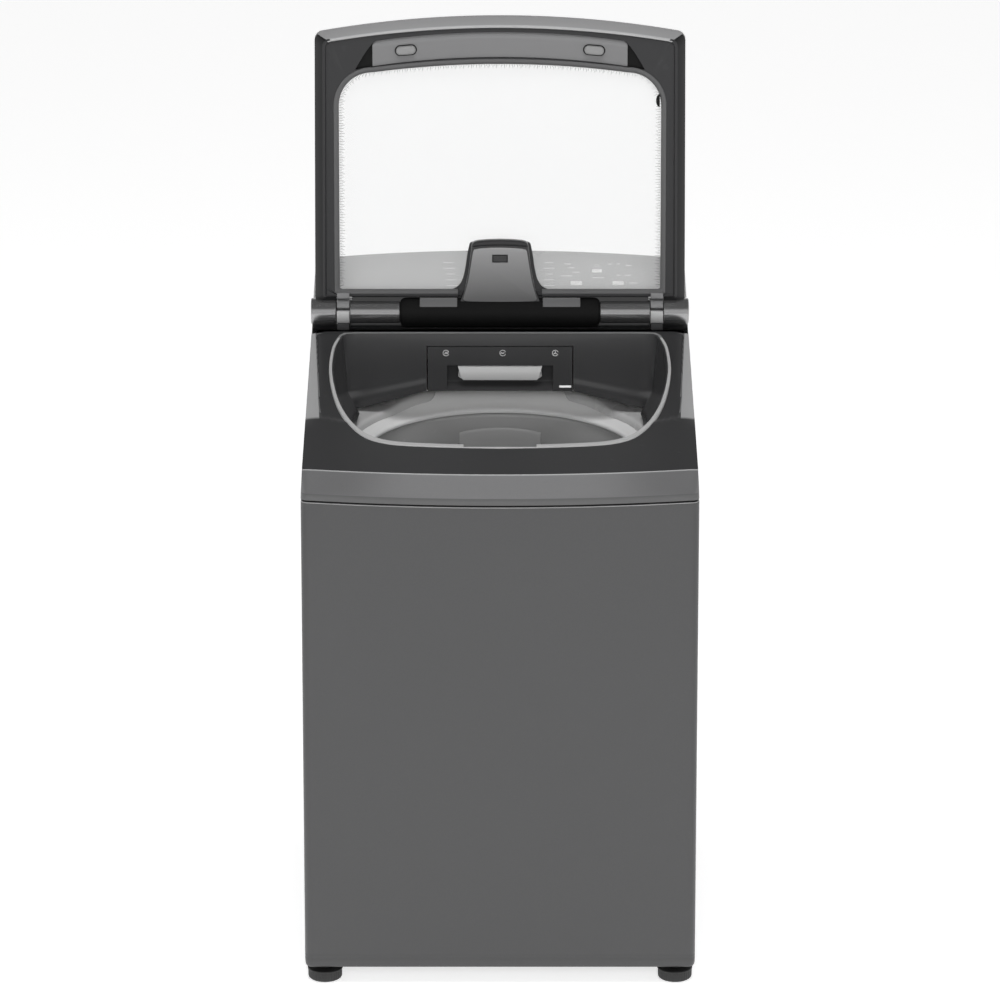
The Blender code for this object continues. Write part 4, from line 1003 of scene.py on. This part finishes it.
def glass_outline(grow=0.0, points=20):
    """Closed outline of the lid's window, as (x, -u)."""
    edge, corner = 0.2665 + grow, 0.058 + grow
    rear, tip = 0.0345 - grow, 0.4162 + grow
    reach = edge - corner
    pivot = (reach, -(tip - 0.014 - corner))
    top = [(x, -(tip - 0.014 * (x / reach) ** 2)) for x in [reach * (1 - k / points) for k in range(1, points + 1)]]
    side = [(edge, -rear + (pivot[1] + rear) * k / 12) for k in range(1, 12)]
    return mirrored([(0.0, -rear), (0.16, -rear), (edge, -rear)] + side + arc(pivot, corner, 0, -90, 16) + top)


def make_lid_frame():
    """Hollow lid frame: wide outer bevel, painted light on the tip's bevel and painted shade on the side bevels, a
    painted highlight on the tip's lip, sunk inner face and rolled top; round knuckles beside it.
    """
    stations = 360
    shape = [(0.0012, 0.0100), (0.0002, 0.0088), (0.0, 0.0070), (0.0, 0.0015), (0.0008, -0.0005),
             (0.0130, -0.0122), (0.0143, -0.0134), (0.0157, -0.0140), (0.0171, -0.0138), (0.0178, -0.0130),
             (0.0181, -0.0108), (0.0191, -0.0098)]
    window = [(0.0050, -0.0098), (0.0046, -0.0094), (0.0044, -0.0080), (0.0, -0.0072), (0.0, 0.0048),
              (0.0080, 0.0050), (0.0080, 0.0092), (0.0086, 0.0100)]
    rows = levels(lambda inset: lid_outline(inset, 0.0065 if inset < 0.009 else 0.0270), shape, stations)
    rows += levels(glass_outline, window, stations)
    rows.append(rows[0])
    shell = skin(rows)
    # Tip bevel faces take painted light, side bevel faces painted shade, and the tip's lip a painted highlight.
    for index, face in enumerate(shell.faces):
        ring, at = index // stations, face.calc_center_median()
        at_tip = at.y < (-0.4712 + 0.026 * (at.x / 0.296) ** 2 if abs(at.x) < 0.278 else -0.4560)
        if ring < 10 and at_tip:
            face.material_index = 1 if ring < 5 else 3
        elif ring < 5:
            face.material_index = 2
    back_cut = block((-0.2680, -0.0268, -0.05), (0.2680, 0.05, 0.05))
    nose_cut = block((-0.0690, -0.0400, -0.05), (0.0690, 0.0, -0.0016))
    lid_piece("lid_shell", shell, ["lid_dark", "lid_tip", "lid_edge", "painted_edge_highlight"], ("lid_frame",), sharp=40,
              cut=[back_cut, nose_cut, recess_cut()], solver='MANIFOLD')
    for side, name in SIDES:
        start, end = sorted((side * 0.2682, side * 0.3098))
        barrel = [(0.0095, start), (0.0205, start), (0.0216, start + 0.0008), (0.0218, start + 0.0020),
                  (0.0218, end - 0.0030), (0.0213, end - 0.0014), (0.0200, end - 0.0004), (0.0160, end),
                  (0.0095, end)]
        lid_piece(f"lid_knuckle_{name}", lathe(barrel, 72, turn=ALONG_X), "barrel")


HANDLE_U = (0.4225, 0.4650)
HANDLE_BOW = (0.031, 0.030)


def handle_half(u):
    """Half width of the handle recess at u: its ends curve outward towards the window."""
    t = max(0.0, min(1.0, (HANDLE_U[1] - u) / (HANDLE_U[1] - HANDLE_U[0])))
    return 0.2005 + 0.0350 * t ** 0.73


def bowed(x, u, bow):
    """The lid's y at x on a line that lies at u in the middle."""
    return -(u - bow * (x / 0.296) ** 2)


def recess_line(u, half, bow, count=36):
    return [(x, bowed(x, u, bow)) for x in [-half + 2 * half * k / count for k in range(count + 1)]]


def recess_cut():
    """Tool that sinks the handle recess into the frame's under face."""
    near, far = (recess_line(u, handle_half(u), bow) for u, bow in zip(HANDLE_U, HANDLE_BOW))
    right = []
    for k in range(1, 14):
        t = k / 14
        u = HANDLE_U[0] + (HANDLE_U[1] - HANDLE_U[0]) * t
        half = handle_half(u)
        right.append((half, bowed(half, u, HANDLE_BOW[0] + (HANDLE_BOW[1] - HANDLE_BOW[0]) * t)))
    return slab(near + right + far[::-1] + [(-x, y) for x, y in reversed(right)], -0.03, -0.0045)


def oval(radius, reach):
    return arc((reach, 0), radius, -90, 90, 14) + arc((-reach, 0), radius, 90, 270, 14)


def make_handle():
    """Slanted light plate in the recess, black sheets at its ends as painted shade over the recess's end walls, and the
    two oval bumpers.
    """
    rows = []
    for k in range(15):
        t = k / 14
        u = HANDLE_U[0] + 0.0006 + (HANDLE_U[1] - HANDLE_U[0] - 0.0010) * t
        half = min(0.2072, handle_half(u) - 0.0004)
        v = -0.0058 - 0.0034 * smoothstep(t / 0.8) + 0.0030 * smoothstep((t - 0.80) / 0.20)
        rows.append(at_v(recess_line(u, half, HANDLE_BOW[0]), v))
    lid_piece("lid_handle_pad", skin(rows, looped=False), "handle", ("lid_handle_plate",), sharp=40, shell=0.0012)
    # Black sheets at the plate's ends: painted shade where the recess's end walls fall dark.
    for side, name in SIDES:
        outer, inner = [], []
        for k in range(15):
            u = HANDLE_U[0] + (HANDLE_U[1] - HANDLE_U[0]) * k / 14
            for line, half in ((outer, handle_half(u) - 0.0002), (inner, min(0.2074, handle_half(u) - 0.0003))):
                line.append((side * half, bowed(half, u, HANDLE_BOW[0]), -0.0049))
        lid_piece(f"lid_handle_end_{name}", skin([outer, inner], looped=False), "black")
    stop_x = 0.153
    for side, name in SIDES:
        tilt = (Matrix.Translation((side * stop_x, bowed(stop_x, 0.4434, HANDLE_BOW[0]), 0))
                @ Matrix.Rotation(side * 0.085, 4, 'Z'))
        stop = [at_v(oval(radius, reach), v) for radius, reach, v in
                ((0.0072, 0.0090, -0.0088), (0.0072, 0.0090, -0.0124), (0.0066, 0.0090, -0.0146),
                 (0.0054, 0.0090, -0.0156), (0.0034, 0.0088, -0.0159))]
        lid_piece(f"lid_stop_{name}", skin(stop, cap_last=True), "bumper", (f"lid_bumper_{name}",), turn=tilt,
                  sharp=60)
        rim = [at_v(oval(radius, 0.0090), v) for radius, v in
               ((0.0090, -0.0085), (0.0088, -0.0104), (0.0080, -0.0106), (0.0074, -0.0088))]
        lid_piece(f"lid_stop_rim_{name}", skin(rim), "black", slot="foot_rubber", turn=tilt, sharp=60)


def border_dashes():
    """Short tapered dashes round the glass, each reaching inward by one of five lengths."""
    outline = [Vector(point) for point in resample(glass_outline(-0.0044), 640)]
    dashes = bmesh.new()
    for i, (a, b) in enumerate(zip(outline, outline[1:] + outline[:1])):
        if a.y > -0.045 and abs(a.x) < 0.262:
            continue
        along = (b - a).normalized()
        inward = Vector((-along.y, along.x))
        if inward.dot(Vector((0, -0.23)) - a) < 0:
            inward = -inward
        width = (b - a).length * 0.50
        reach = inward * (0.0042 + 0.0046 * ((i * 7) % 5) / 4)
        corners = [a, a + along * width, a + along * width * 0.75 + reach, a + along * width * 0.25 + reach]
        dashes.faces.new([dashes.verts.new((c.x, c.y, 0.00525)) for c in corners])
    return dashes


def make_glass():
    """Clear pane, its grey lip, the printed border and the small stop beside it."""
    pane = levels(glass_outline, ((0.0072, 0.0054), (0.0076, 0.0058), (0.0076, 0.0091), (0.0070, 0.0095)))
    lid_piece("lid_pane", solid(pane), "glass", ("lid_glass",), sharp=30)
    rows = levels(glass_outline, ((0.0048, -0.0076), (0.0048, -0.0090), (0.0042, -0.0096), (0.0026, -0.0099),
                                  (0.0002, -0.0096), (-0.0030, -0.0084), (-0.0042, -0.0072), (-0.0042, -0.0066),
                                  (0.0048, -0.0066)), 300)
    rows.append(rows[0])
    nose_cut = block((-0.0690, -0.0420, -0.05), (0.0690, 0.0, 0.0))
    lid_piece("lid_lip", skin(rows), "lip", ("lid_gasket",), sharp=50, cut=[nose_cut])
    lid_piece("glass_border", border_dashes(), "frit", slot="lid_glass", keep_normals=True)
    angles = [math.radians(a) for a in range(0, 181, 12)]
    crescent = [(0.2600 - 0.0060 * math.sin(a), -0.352 + 0.0105 * math.cos(a)) for a in angles]
    stop = solid([at_v(crescent, v) for v in (-0.0068, -0.0100, -0.0116)])
    lid_piece("lid_side_stop", stop, "black", slot="foot_rubber", bevel=0.0006)


def make_lid_bar():
    """Barrels, drum with flat end segments, and the dark bar under the glass."""
    for side, name in SIDES:
        start, end = sorted((side * 0.1640, side * 0.2462))
        barrel = [(0.0078, start), (0.0186, start), (0.0198, start + 0.0012), (0.0198, end - 0.0012),
                  (0.0186, end), (0.0078, end)]
        lid_piece(f"bar_barrel_{name}", lathe(barrel, 72, turn=ALONG_X), "barrel")

    drum = [(0.0, 0.1640), (0.0170, 0.1640), (0.0215, 0.1625), (0.0245, 0.1590), (0.0256, 0.1540), (0.0258, 0.1490)]
    drum = [(r, -x) for r, x in drum] + drum[::-1]
    lid_piece("bar_drum", lathe(drum, 72, closed=False, turn=ALONG_X), "black", ("lid_rear_bar",))
    web = block((-0.2430, -0.0264, -0.0075), (0.2430, -0.0040, 0.0085))
    lid_piece("bar_web", web, "gloss", bevel=0.0016, segments=3)

    # Flat facets on the drum; their lighter grey is a painted highlight on their up-facing faces.
    flats = []
    for side, _ in SIDES:
        low, high = sorted((side * 0.0700, side * 0.1315))
        flats.append(block((low, -0.0180, -0.0262), (high, -0.0020, -0.0215)))
    lid_piece("drum_flats", joined(*flats), "flat", bevel=0.0012, segments=3,
              turn=Matrix.Rotation(math.radians(-22), 4, 'X'))


NOSE_TIP = 0.1220


def nose_half(grow, tip=NOSE_TIP):
    """Half outline of the nose, grown all round, with its arched tip at u = tip."""
    half = [(0.0, -tip - grow), (0.020, -tip + 0.0005 - grow), (0.034, -tip + 0.0018 - grow),
            (0.0412, -tip + 0.0032 - grow), (0.0452 + grow * 0.7, -tip + 0.0058)]
    flank = [(0.0466, -tip + 0.0100), (0.0484, -0.0950), (0.0515, -0.0720), (0.0560, -0.0480), (0.0620, -0.0290),
             (0.0665, -0.0200)]
    return half + smooth([(x + grow, y) for x, y in flank], 6)


def nose_body_line(grow):
    return mirrored(nose_half(grow) + [(0.0665 + grow, -0.0040), (0.0, -0.0040)])


def nose_skirt_line(grow):
    tip = NOSE_TIP
    skirt = [(0.0, -tip + 0.0040), (0.030, -tip + 0.0044), (0.0440, -tip + 0.0060), (0.0488, -tip + 0.0080)]
    skirt += smooth([(0.0502, -tip + 0.0110), (0.0535, -0.0950), (0.0568, -0.0720), (0.0618, -0.0520),
                     (0.0700, -0.0405), (0.0830, -0.0352), (0.0900, -0.0345)], 6)
    skirt += [(0.0900, -0.0290), (0.0, -0.0290)]
    return mirrored([(x - (grow if x else 0.0), y + grow) for x, y in skirt])


def nose_face_line(grow):
    tip = 0.1096
    half = [(0.0, -tip - grow), (0.020, -tip + 0.0005 - grow), (0.036, -tip + 0.0017 - grow),
            (0.0425 + grow * 0.6, -tip + 0.0036)]
    flank = [(0.0440, -0.1034), (0.0458, -0.0930), (0.0490, -0.0720), (0.0536, -0.0480), (0.0590, -0.0290),
             (0.0604, -0.0225)]
    foot = [(0.0560, -0.0195 + grow), (0.0300, -0.0180 + grow), (0.0, -0.0175 + grow)]
    return mirrored(half + smooth([(x + grow, y) for x, y in flank], 6) + foot)


def nose_cap_line(grow):
    lower = [(0.0455 + grow, -0.1118), (0.0430, -0.1106 + grow), (0.0360, -0.1114 + grow),
             (0.0200, -0.1126 + grow), (0.0, -0.1131 + grow)]
    return mirrored([point for point in nose_half(grow)[:7] if point[1] < -0.1122] + lower)


def make_nose():
    """The hanging nose: dark body with an arched cap and a lighter face plate with a small slot."""
    half_x, low, high = 0.0128, -0.0978, -0.0846
    slot_cut = block((-half_x, low, -0.03), (half_x, high, -0.0120))

    def part(name, look, line, steps, stations=240, cut=()):
        lid_piece(f"nose_{name}", solid(levels(line, steps, stations)), look, sharp=40, cut=cut)

    part("body", "gloss", nose_body_line,
         ((0.0, -0.0030), (0.0, -0.0050), (0.0, -0.0135), (-0.0010, -0.0156), (-0.0024, -0.0164)))
    part("skirt", "lid_dark", nose_skirt_line, ((0.0, 0.0050), (0.0, 0.0010), (0.0010, 0.0), (0.0016, -0.0004)))
    part("face", "nose", nose_face_line, ((0.0, -0.0150), (0.0, -0.0163), (-0.0006, -0.0169), (-0.0018, -0.0171)),
         cut=[slot_cut])
    rows = [at_v([(-s, low - g), (s, low - g), (s, high + g), (-s, high + g)], v)
            for s, g, v in ((0.0126, -0.0002, -0.0125), (0.0126, -0.0002, -0.0166),
                            (0.0104, -0.0022, -0.0163), (0.0090, -0.0036, -0.0145), (0.0090, -0.0036, -0.0125))]
    lid_piece("nose_slot", skin(rows, cap_last=True), "black", sharp=40)
    part("cap", "lid_dark", nose_cap_line, ((0.0, -0.0120), (0.0, -0.0166), (-0.0010, -0.0178), (-0.0026, -0.0182)),
         160)


def make_hinges():
    """Bracket ears round the pins: grey strap above, a dark slit, and a lighter foot below."""
    on_hinge = Matrix.Translation(HINGE) @ ONTO_X
    stem = [(0.0240, -0.0380), (0.0240, -0.010), (0.0130, -0.004), (-0.0100, -0.010), (-0.0195, -0.0160),
            (-0.0195, -0.0380)]
    for side, name in SIDES:
        low, high = sorted((side * 0.2468, side * 0.2672))
        for part, look, start, end in (("strap", "strap", -2, 149), ("foot", "light", 164, 229)):
            line = arc((0, 0), 0.0226, start, end, 30) + arc((0, 0), 0.0088, end, start, 20)
            piece(f"hinge_{part}_{name}", slab(line, low, high, on_hinge), look, "root",
                  (f"hinge_bracket_{name}",), bevel=0.0008, segments=3, sharp=40)
        piece(f"hinge_stem_{name}", slab(stem, low + 0.0006, high - 0.0006, on_hinge), "base", "root",
              slot="grey_plastic", bevel=0.0008)
        arm = block((low, -0.0330, -0.0150), (high, -0.0238, -0.0040))
        lid_piece(f"lid_arm_{name}", arm, "strap", bevel=0.0010, segments=3)


# ---------------------------------------------------------------- control housing behind the hinge
FASCIA_LOW = (0.200, 0.986)
FASCIA_HIGH = (0.332, 1.0375)


def fascia_z(y):
    return FASCIA_LOW[1] + (y - FASCIA_LOW[0]) * (FASCIA_HIGH[1] - FASCIA_LOW[1]) / (FASCIA_HIGH[0] - FASCIA_LOW[0])


def console_back_y(x):
    return FASCIA_HIGH[0] - 0.020 * (abs(x) / 0.305) ** 2


def make_rear_console():
    """Trough for the lid's bar, sloping housing top and rear wall."""
    front = REAR[0].y
    stations = 36
    rows = []
    for i in range(stations + 1):
        part = -1 + 2 * i / stations
        back = console_back_y(part * 0.305)
        top = fascia_z(back)
        profile = [(front, SEAM_SIDE), (front, 0.880), (front, 0.9405), (front + 0.0010, 0.9428),
                   (front + 0.0032, 0.9435), (0.190, 0.9435), (0.194, 0.9442), (0.196, 0.9465), (0.1972, 0.958),
                   (0.1988, 0.976), (0.1996, 0.9832), (0.2012, 0.986), (0.204, 0.9874), (0.250, fascia_z(0.250)),
                   (back - 0.0050, fascia_z(back - 0.0050)), (back - 0.0012, top - 0.0004),
                   (back + 0.0012, top - 0.0016), (HALF_D - 0.0012, top - 0.0098), (HALF_D, top - 0.0125),
                   (HALF_D, 0.900), (HALF_D, SEAM_SIDE)]
        rows.append([(part * side_x(z), y, z) for y, z in profile])
    bm = skin(rows, looped=False)
    bm.verts.ensure_lookup_table()
    width = len(rows[0])
    for row in (0, stations):
        bm.faces.new([bm.verts[row * width + k] for k in range(width)])
    bmesh.ops.recalc_face_normals(bm, faces=bm.faces)
    # Trough faces in front of the housing take gloss black as painted shade under the lid's drum; up-facing faces take
    # the fascia grey.
    for face in bm.faces:
        if face.calc_center_median().y < 0.1990:
            face.material_index = 2
        elif face.normal.z > 0.80:
            face.material_index = 1
    room = block((-0.250, 0.130, 0.80), (0.250, 0.145, 0.9392))
    inlets = [lathe([(0.0135, -0.02), (0.0135, 0.02)], 32, closed=False, ends=True,
                    turn=Matrix.Translation((x, 0.335, 0.885)) @ Matrix.Rotation(math.pi / 2, 4, 'X'))
              for x in (0.205, 0.245)]
    piece("control_housing", bm, ["band", "fascia", "gloss"], "root", ("rear_console",), sharp=40, shell=0.0026,
          cut=[room] + inlets, keep_normals=True)


PANEL_SLOPE = math.atan2(FASCIA_HIGH[1] - FASCIA_LOW[1], FASCIA_HIGH[0] - FASCIA_LOW[0])
PANEL = Matrix.Translation((0.0, *FASCIA_LOW)) @ Matrix.Rotation(PANEL_SLOPE, 4, 'X')
BUTTONS = {"power_button": (0.126, 0.047, 0.0048), "start_button": (0.195, 0.047, 0.0048),
           "program_button": (0.1605, 0.080, 0.0042)}


def rounded(half_x, half_y, radius, at):
    """A rounded rectangle about a point."""
    line = []
    for sx, sy, start in ((1, 1, 0), (-1, 1, 90), (-1, -1, 180), (1, -1, 270)):
        line += arc((at[0] + sx * (half_x - radius), at[1] + sy * (half_y - radius)), radius, start, start + 90, 5)
    return line


def control_outline(inset):
    """Outline of the control field on the panel, its far edge bowed like the housing's back."""
    corner, edge, near = 0.016 - inset, 0.286 - inset, 0.008 + inset
    far = [((console_back_y(x) - FASCIA_LOW[0]) / math.cos(PANEL_SLOPE) - 0.007 - inset) for x in (edge, 0.0)]
    half = [(0.0, near), (edge - corner, near)] + arc((edge - corner, near + corner), corner, -90, 0, 10)
    half += arc((edge - corner, far[0] - corner), corner, 0, 84, 10)
    half += [(edge * t, far[1] + (far[0] - far[1]) * t * t) for t in (0.86, 0.7, 0.5, 0.3, 0.15, 0.0)]
    return mirrored(half)


def make_controls():
    """Printed control field with generic marks and the three keys."""
    keys = []
    for name, (x, s, half_s) in BUTTONS.items():
        low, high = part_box(name)
        half_x = (high.x - low.x) / 2
        keys.append(slab(rounded(half_x + 0.0004, half_s + 0.0004, 0.0016, (x, s)), -0.01, 0.02, PANEL))
        cap = [at_v(rounded(half_x - i, half_s - i, max(0.0006, 0.0014 - i), (x, s)), v)
               for i, v in ((0.0, 0.0019), (0.0, 0.0042), (0.0003, 0.0048), (0.0009, 0.0051))]
        piece(f"{name}_cap", solid(cap), "white", name, (name,), turn=PANEL, sharp=40)
    field = levels(control_outline, ((0.0, 0.0003), (0.0, 0.0033), (0.0005, 0.0040), (0.0012, 0.0043)))
    piece("control_field", solid(field), "fascia", "root", ("control_fascia",), turn=PANEL, sharp=40, cut=keys)

    v = 0.00455
    bars = [(x - 0.002 * row * (x < 0), 0.040 + 0.0155 * row, width - 0.0012 * (row % 3), 0.0009)
            for row in range(5) for x, width in ((0.081, 0.0090), (-0.078, 0.0100))]
    bars += [(x, s, width, 0.0010) for x, s, width in (
        (0.112, 0.098, 0.0055), (0.118, 0.088, 0.0045), (0.126, 0.076, 0.0060), (0.110, 0.066, 0.0100),
        (0.213, 0.094, 0.0050), (0.211, 0.068, 0.0055), (0.220, 0.047, 0.0065), (0.196, 0.068, 0.0030),
        (0.162, 0.061, 0.0100), (0.182, 0.098, 0.0030), (0.196, 0.098, 0.0030))]
    marks = [skin([at_v([(x - half_x, end), (x + half_x, end)], v) for end in (s - half_s, s + half_s)], looped=False)
             for x, s, half_x, half_s in bars]
    marks.append(skin([at_v(arc((0.1605, 0.0935), radius, 0, 360, 24)[:-1], v) for radius in (0.0040, 0.0032)]))
    piece("control_marks", joined(*marks), "print", "root", slot="white_plastic", turn=PANEL)


# ---------------------------------------------------------------- feet
def make_feet():
    """Ribbed levelling feet with a domed sole, a hex collar and a threaded stem."""
    steps, rib = 144, 0.0007
    profile = [(0.0, 0.0002), (0.0180, 0.0004), (0.0246, 0.0014), (0.0266, 0.0030), (0.0274, 0.0050),
               (0.0276, 0.0150), (0.0270, 0.0172), (0.0284, 0.0176), (0.0285, 0.0192), (0.0276, 0.0202),
               (0.0200, 0.0208), (0.0150, 0.0212), (0.0, 0.0212)]
    ribbed = (0.0050, 0.0150)
    threads = [(0.0, 0.0450)]
    for k in range(13):
        threads += [(0.0050, 0.0455 + 0.001 * k), (0.0044, 0.0460 + 0.001 * k)]
    threads.append((0.0, 0.0578))
    hexagon = [around(0.0124, math.radians(60 * k), 0.0)[:2] for k in range(6)]
    for corner in CORNERS:
        name = f"foot_{corner}"
        low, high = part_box(name)
        sole = skin([[around(r - (rib if z in ribbed and i % 4 < 2 else 0.0), 2 * math.pi * i / steps, z)
                      for i in range(steps)] for r, z in profile])
        bmesh.ops.remove_doubles(sole, verts=sole.verts, dist=1e-6)
        tread = joined(sole, slab(hexagon, 0.0212, 0.0452), lathe(threads, 24, closed=False))
        piece(f"{name}_tread", tread, "rubber", name, (name,), sharp=35,
              turn=Matrix.Translation(((low.x + high.x) / 2, (low.y + high.y) / 2, 0.0)))


# ---------------------------------------------------------------- back
def make_rear_panel():
    """Pressed steel back with four stiffening beads, open at the drain outlet, and its edge screws."""
    low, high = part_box("rear_panel")
    low.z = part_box("base_frame")[1].z + 0.0006
    columns, lines = 122, 152
    bead_reach, bead_radius, bead_depth = 0.190, 0.024, 0.0040

    def pressed(x, z):
        nearest = min(math.hypot(max(0.0, abs(x) - bead_reach), z - bead) for bead in (0.270, 0.370, 0.470, 0.570))
        return bead_depth * (1 - smoothstep(nearest / bead_radius))

    across = [high.x + (low.x - high.x) * i / columns for i in range(columns + 1)]
    heights = [low.z + (high.z - low.z) * k / lines for k in range(lines + 1)]
    rows = [[(x, high.y - pressed(x, z), z) for x in across] for z in heights]
    outlet_low, outlet_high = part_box("drain_outlet")
    outlet = (outlet_low + outlet_high) / 2
    outlet.y = high.y
    hole = slab([(x, y) for x, y, _ in circle(0.0130, 0.0, 32)], -0.02, 0.02,
                Matrix.Translation(outlet) @ Matrix.Rotation(math.pi / 2, 4, 'X'))
    piece("rear_panel_pressed", skin(rows, looped=False), "paint", "root", ("rear_panel",), cut=[hole],
          shell=high.y - low.y, keep_normals=True, solver='MANIFOLD', sharp=40)
    screws = [screw_head((side * 0.2975, CABINET[1].y - 0.0002, z), (0, 1, 0))
              for side, _ in SIDES for z in (0.110, 0.330, 0.550, 0.770)]
    piece("rear_screws", joined(*screws), "steel", "root", slot="steel", sharp=30)


# ---------------------------------------------------------------- what stretches between cabinet and tub
def stretched(name, node_name, bm, inset, **finish):
    """A piece left free of any body, its place baked into its mesh; inset is not used."""
    obj = piece(name, bm, SLOT_LOOK[SLOT_OF[node_name]], None, (node_name,), sharp=60, **finish)
    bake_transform(obj)


def make_springs():
    """Coil springs, one filling each spring's box, left free of any body."""
    wire, turns, steps, sides = 0.0019, 6, 24, 10
    for corner in CORNERS:
        name = f"suspension_spring_{corner}"
        low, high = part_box(name)
        centre = (low + high) / 2
        radius = (high.x - low.x) / 2 - wire
        rise = high.z - low.z - 2 * wire
        rows = []
        for i in range(turns * steps + 1):
            angle = 2 * math.pi * i / steps
            out = Vector((math.cos(angle), math.sin(angle), 0.0))
            at = Vector((centre.x, centre.y, low.z + wire + rise * i / (turns * steps))) + out * radius
            rows.append([at + (out * math.cos(2 * math.pi * k / sides)
                               + Vector((0, 0, math.sin(2 * math.pi * k / sides)))) * wire
                         for k in range(sides)])
        stretched(f"{name}_coil", name, solid(rows), 0.003)


def make_bellows():
    """Pleated rubber sleeve from the pump up to the tub's outlet."""
    low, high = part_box("sump_bellows")
    centre = (low + high) / 2
    inner = (high.x - low.x) / 2 - 0.0030
    pleats, per_pleat, cuff, wall = 4, 8, 0.0035, 0.0028
    rise = high.z - low.z - 2 * cuff
    wave = [(inner, low.z)]
    for i in range(pleats * per_pleat + 1):
        swell = 0.0015 * (1 - math.cos(2 * math.pi * i / per_pleat))
        wave.append((inner + swell, low.z + cuff + rise * i / (pleats * per_pleat)))
    wave.append((inner, high.z))
    sleeve = lathe(wave + [(r - wall, z) for r, z in reversed(wave)], 48)
    stretched("sump_bellows_sleeve", "sump_bellows", sleeve, cuff,
              turn=Matrix.Translation((centre.x, centre.y, 0.0)))


# ---------------------------------------------------------------- carried-over solids
def dress_frame():
    """Every solid still shown gets its finish, welded corners and small rounded edges."""
    replaced = {node_name for obj in bpy.data.objects for node_name in obj.get("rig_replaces", [])}
    widths = {"cast_alloy": 0.0016, "natural_plastic": 0.0010, "hose_rubber": 0.0008, "base_plastic": 0.0010,
              "white_plastic": 0.0010}
    for name, obj in NODES.items():
        slot = SLOT_OF[name]
        obj.data.materials.clear()
        obj.data.materials.append(LOOK[SLOT_LOOK[slot]])
        if name in replaced:
            continue
        smooth_small_faces(obj.data)
        modify(obj, "Weld", 'WELD', merge_threshold=0.00002)
        if name not in ("drain_hose", "inlet_hose"):
            modify(obj, "Bevel", 'BEVEL', width=widths.get(slot, 0.0006), segments=2, limit_method='ANGLE',
                   angle_limit=math.radians(38), harden_normals=True)


for make in (make_camera, make_studio, make_cabinet, make_top_console, make_rim, make_collar, make_tub_cover,
             make_balance_ring, make_basket, make_filter, make_agitator, make_drawer, make_rear_console,
             make_controls, make_lid_frame, make_handle, make_glass, make_lid_bar, make_nose, make_hinges,
             make_feet, make_rear_panel, make_springs, make_bellows, dress_frame):
    make()
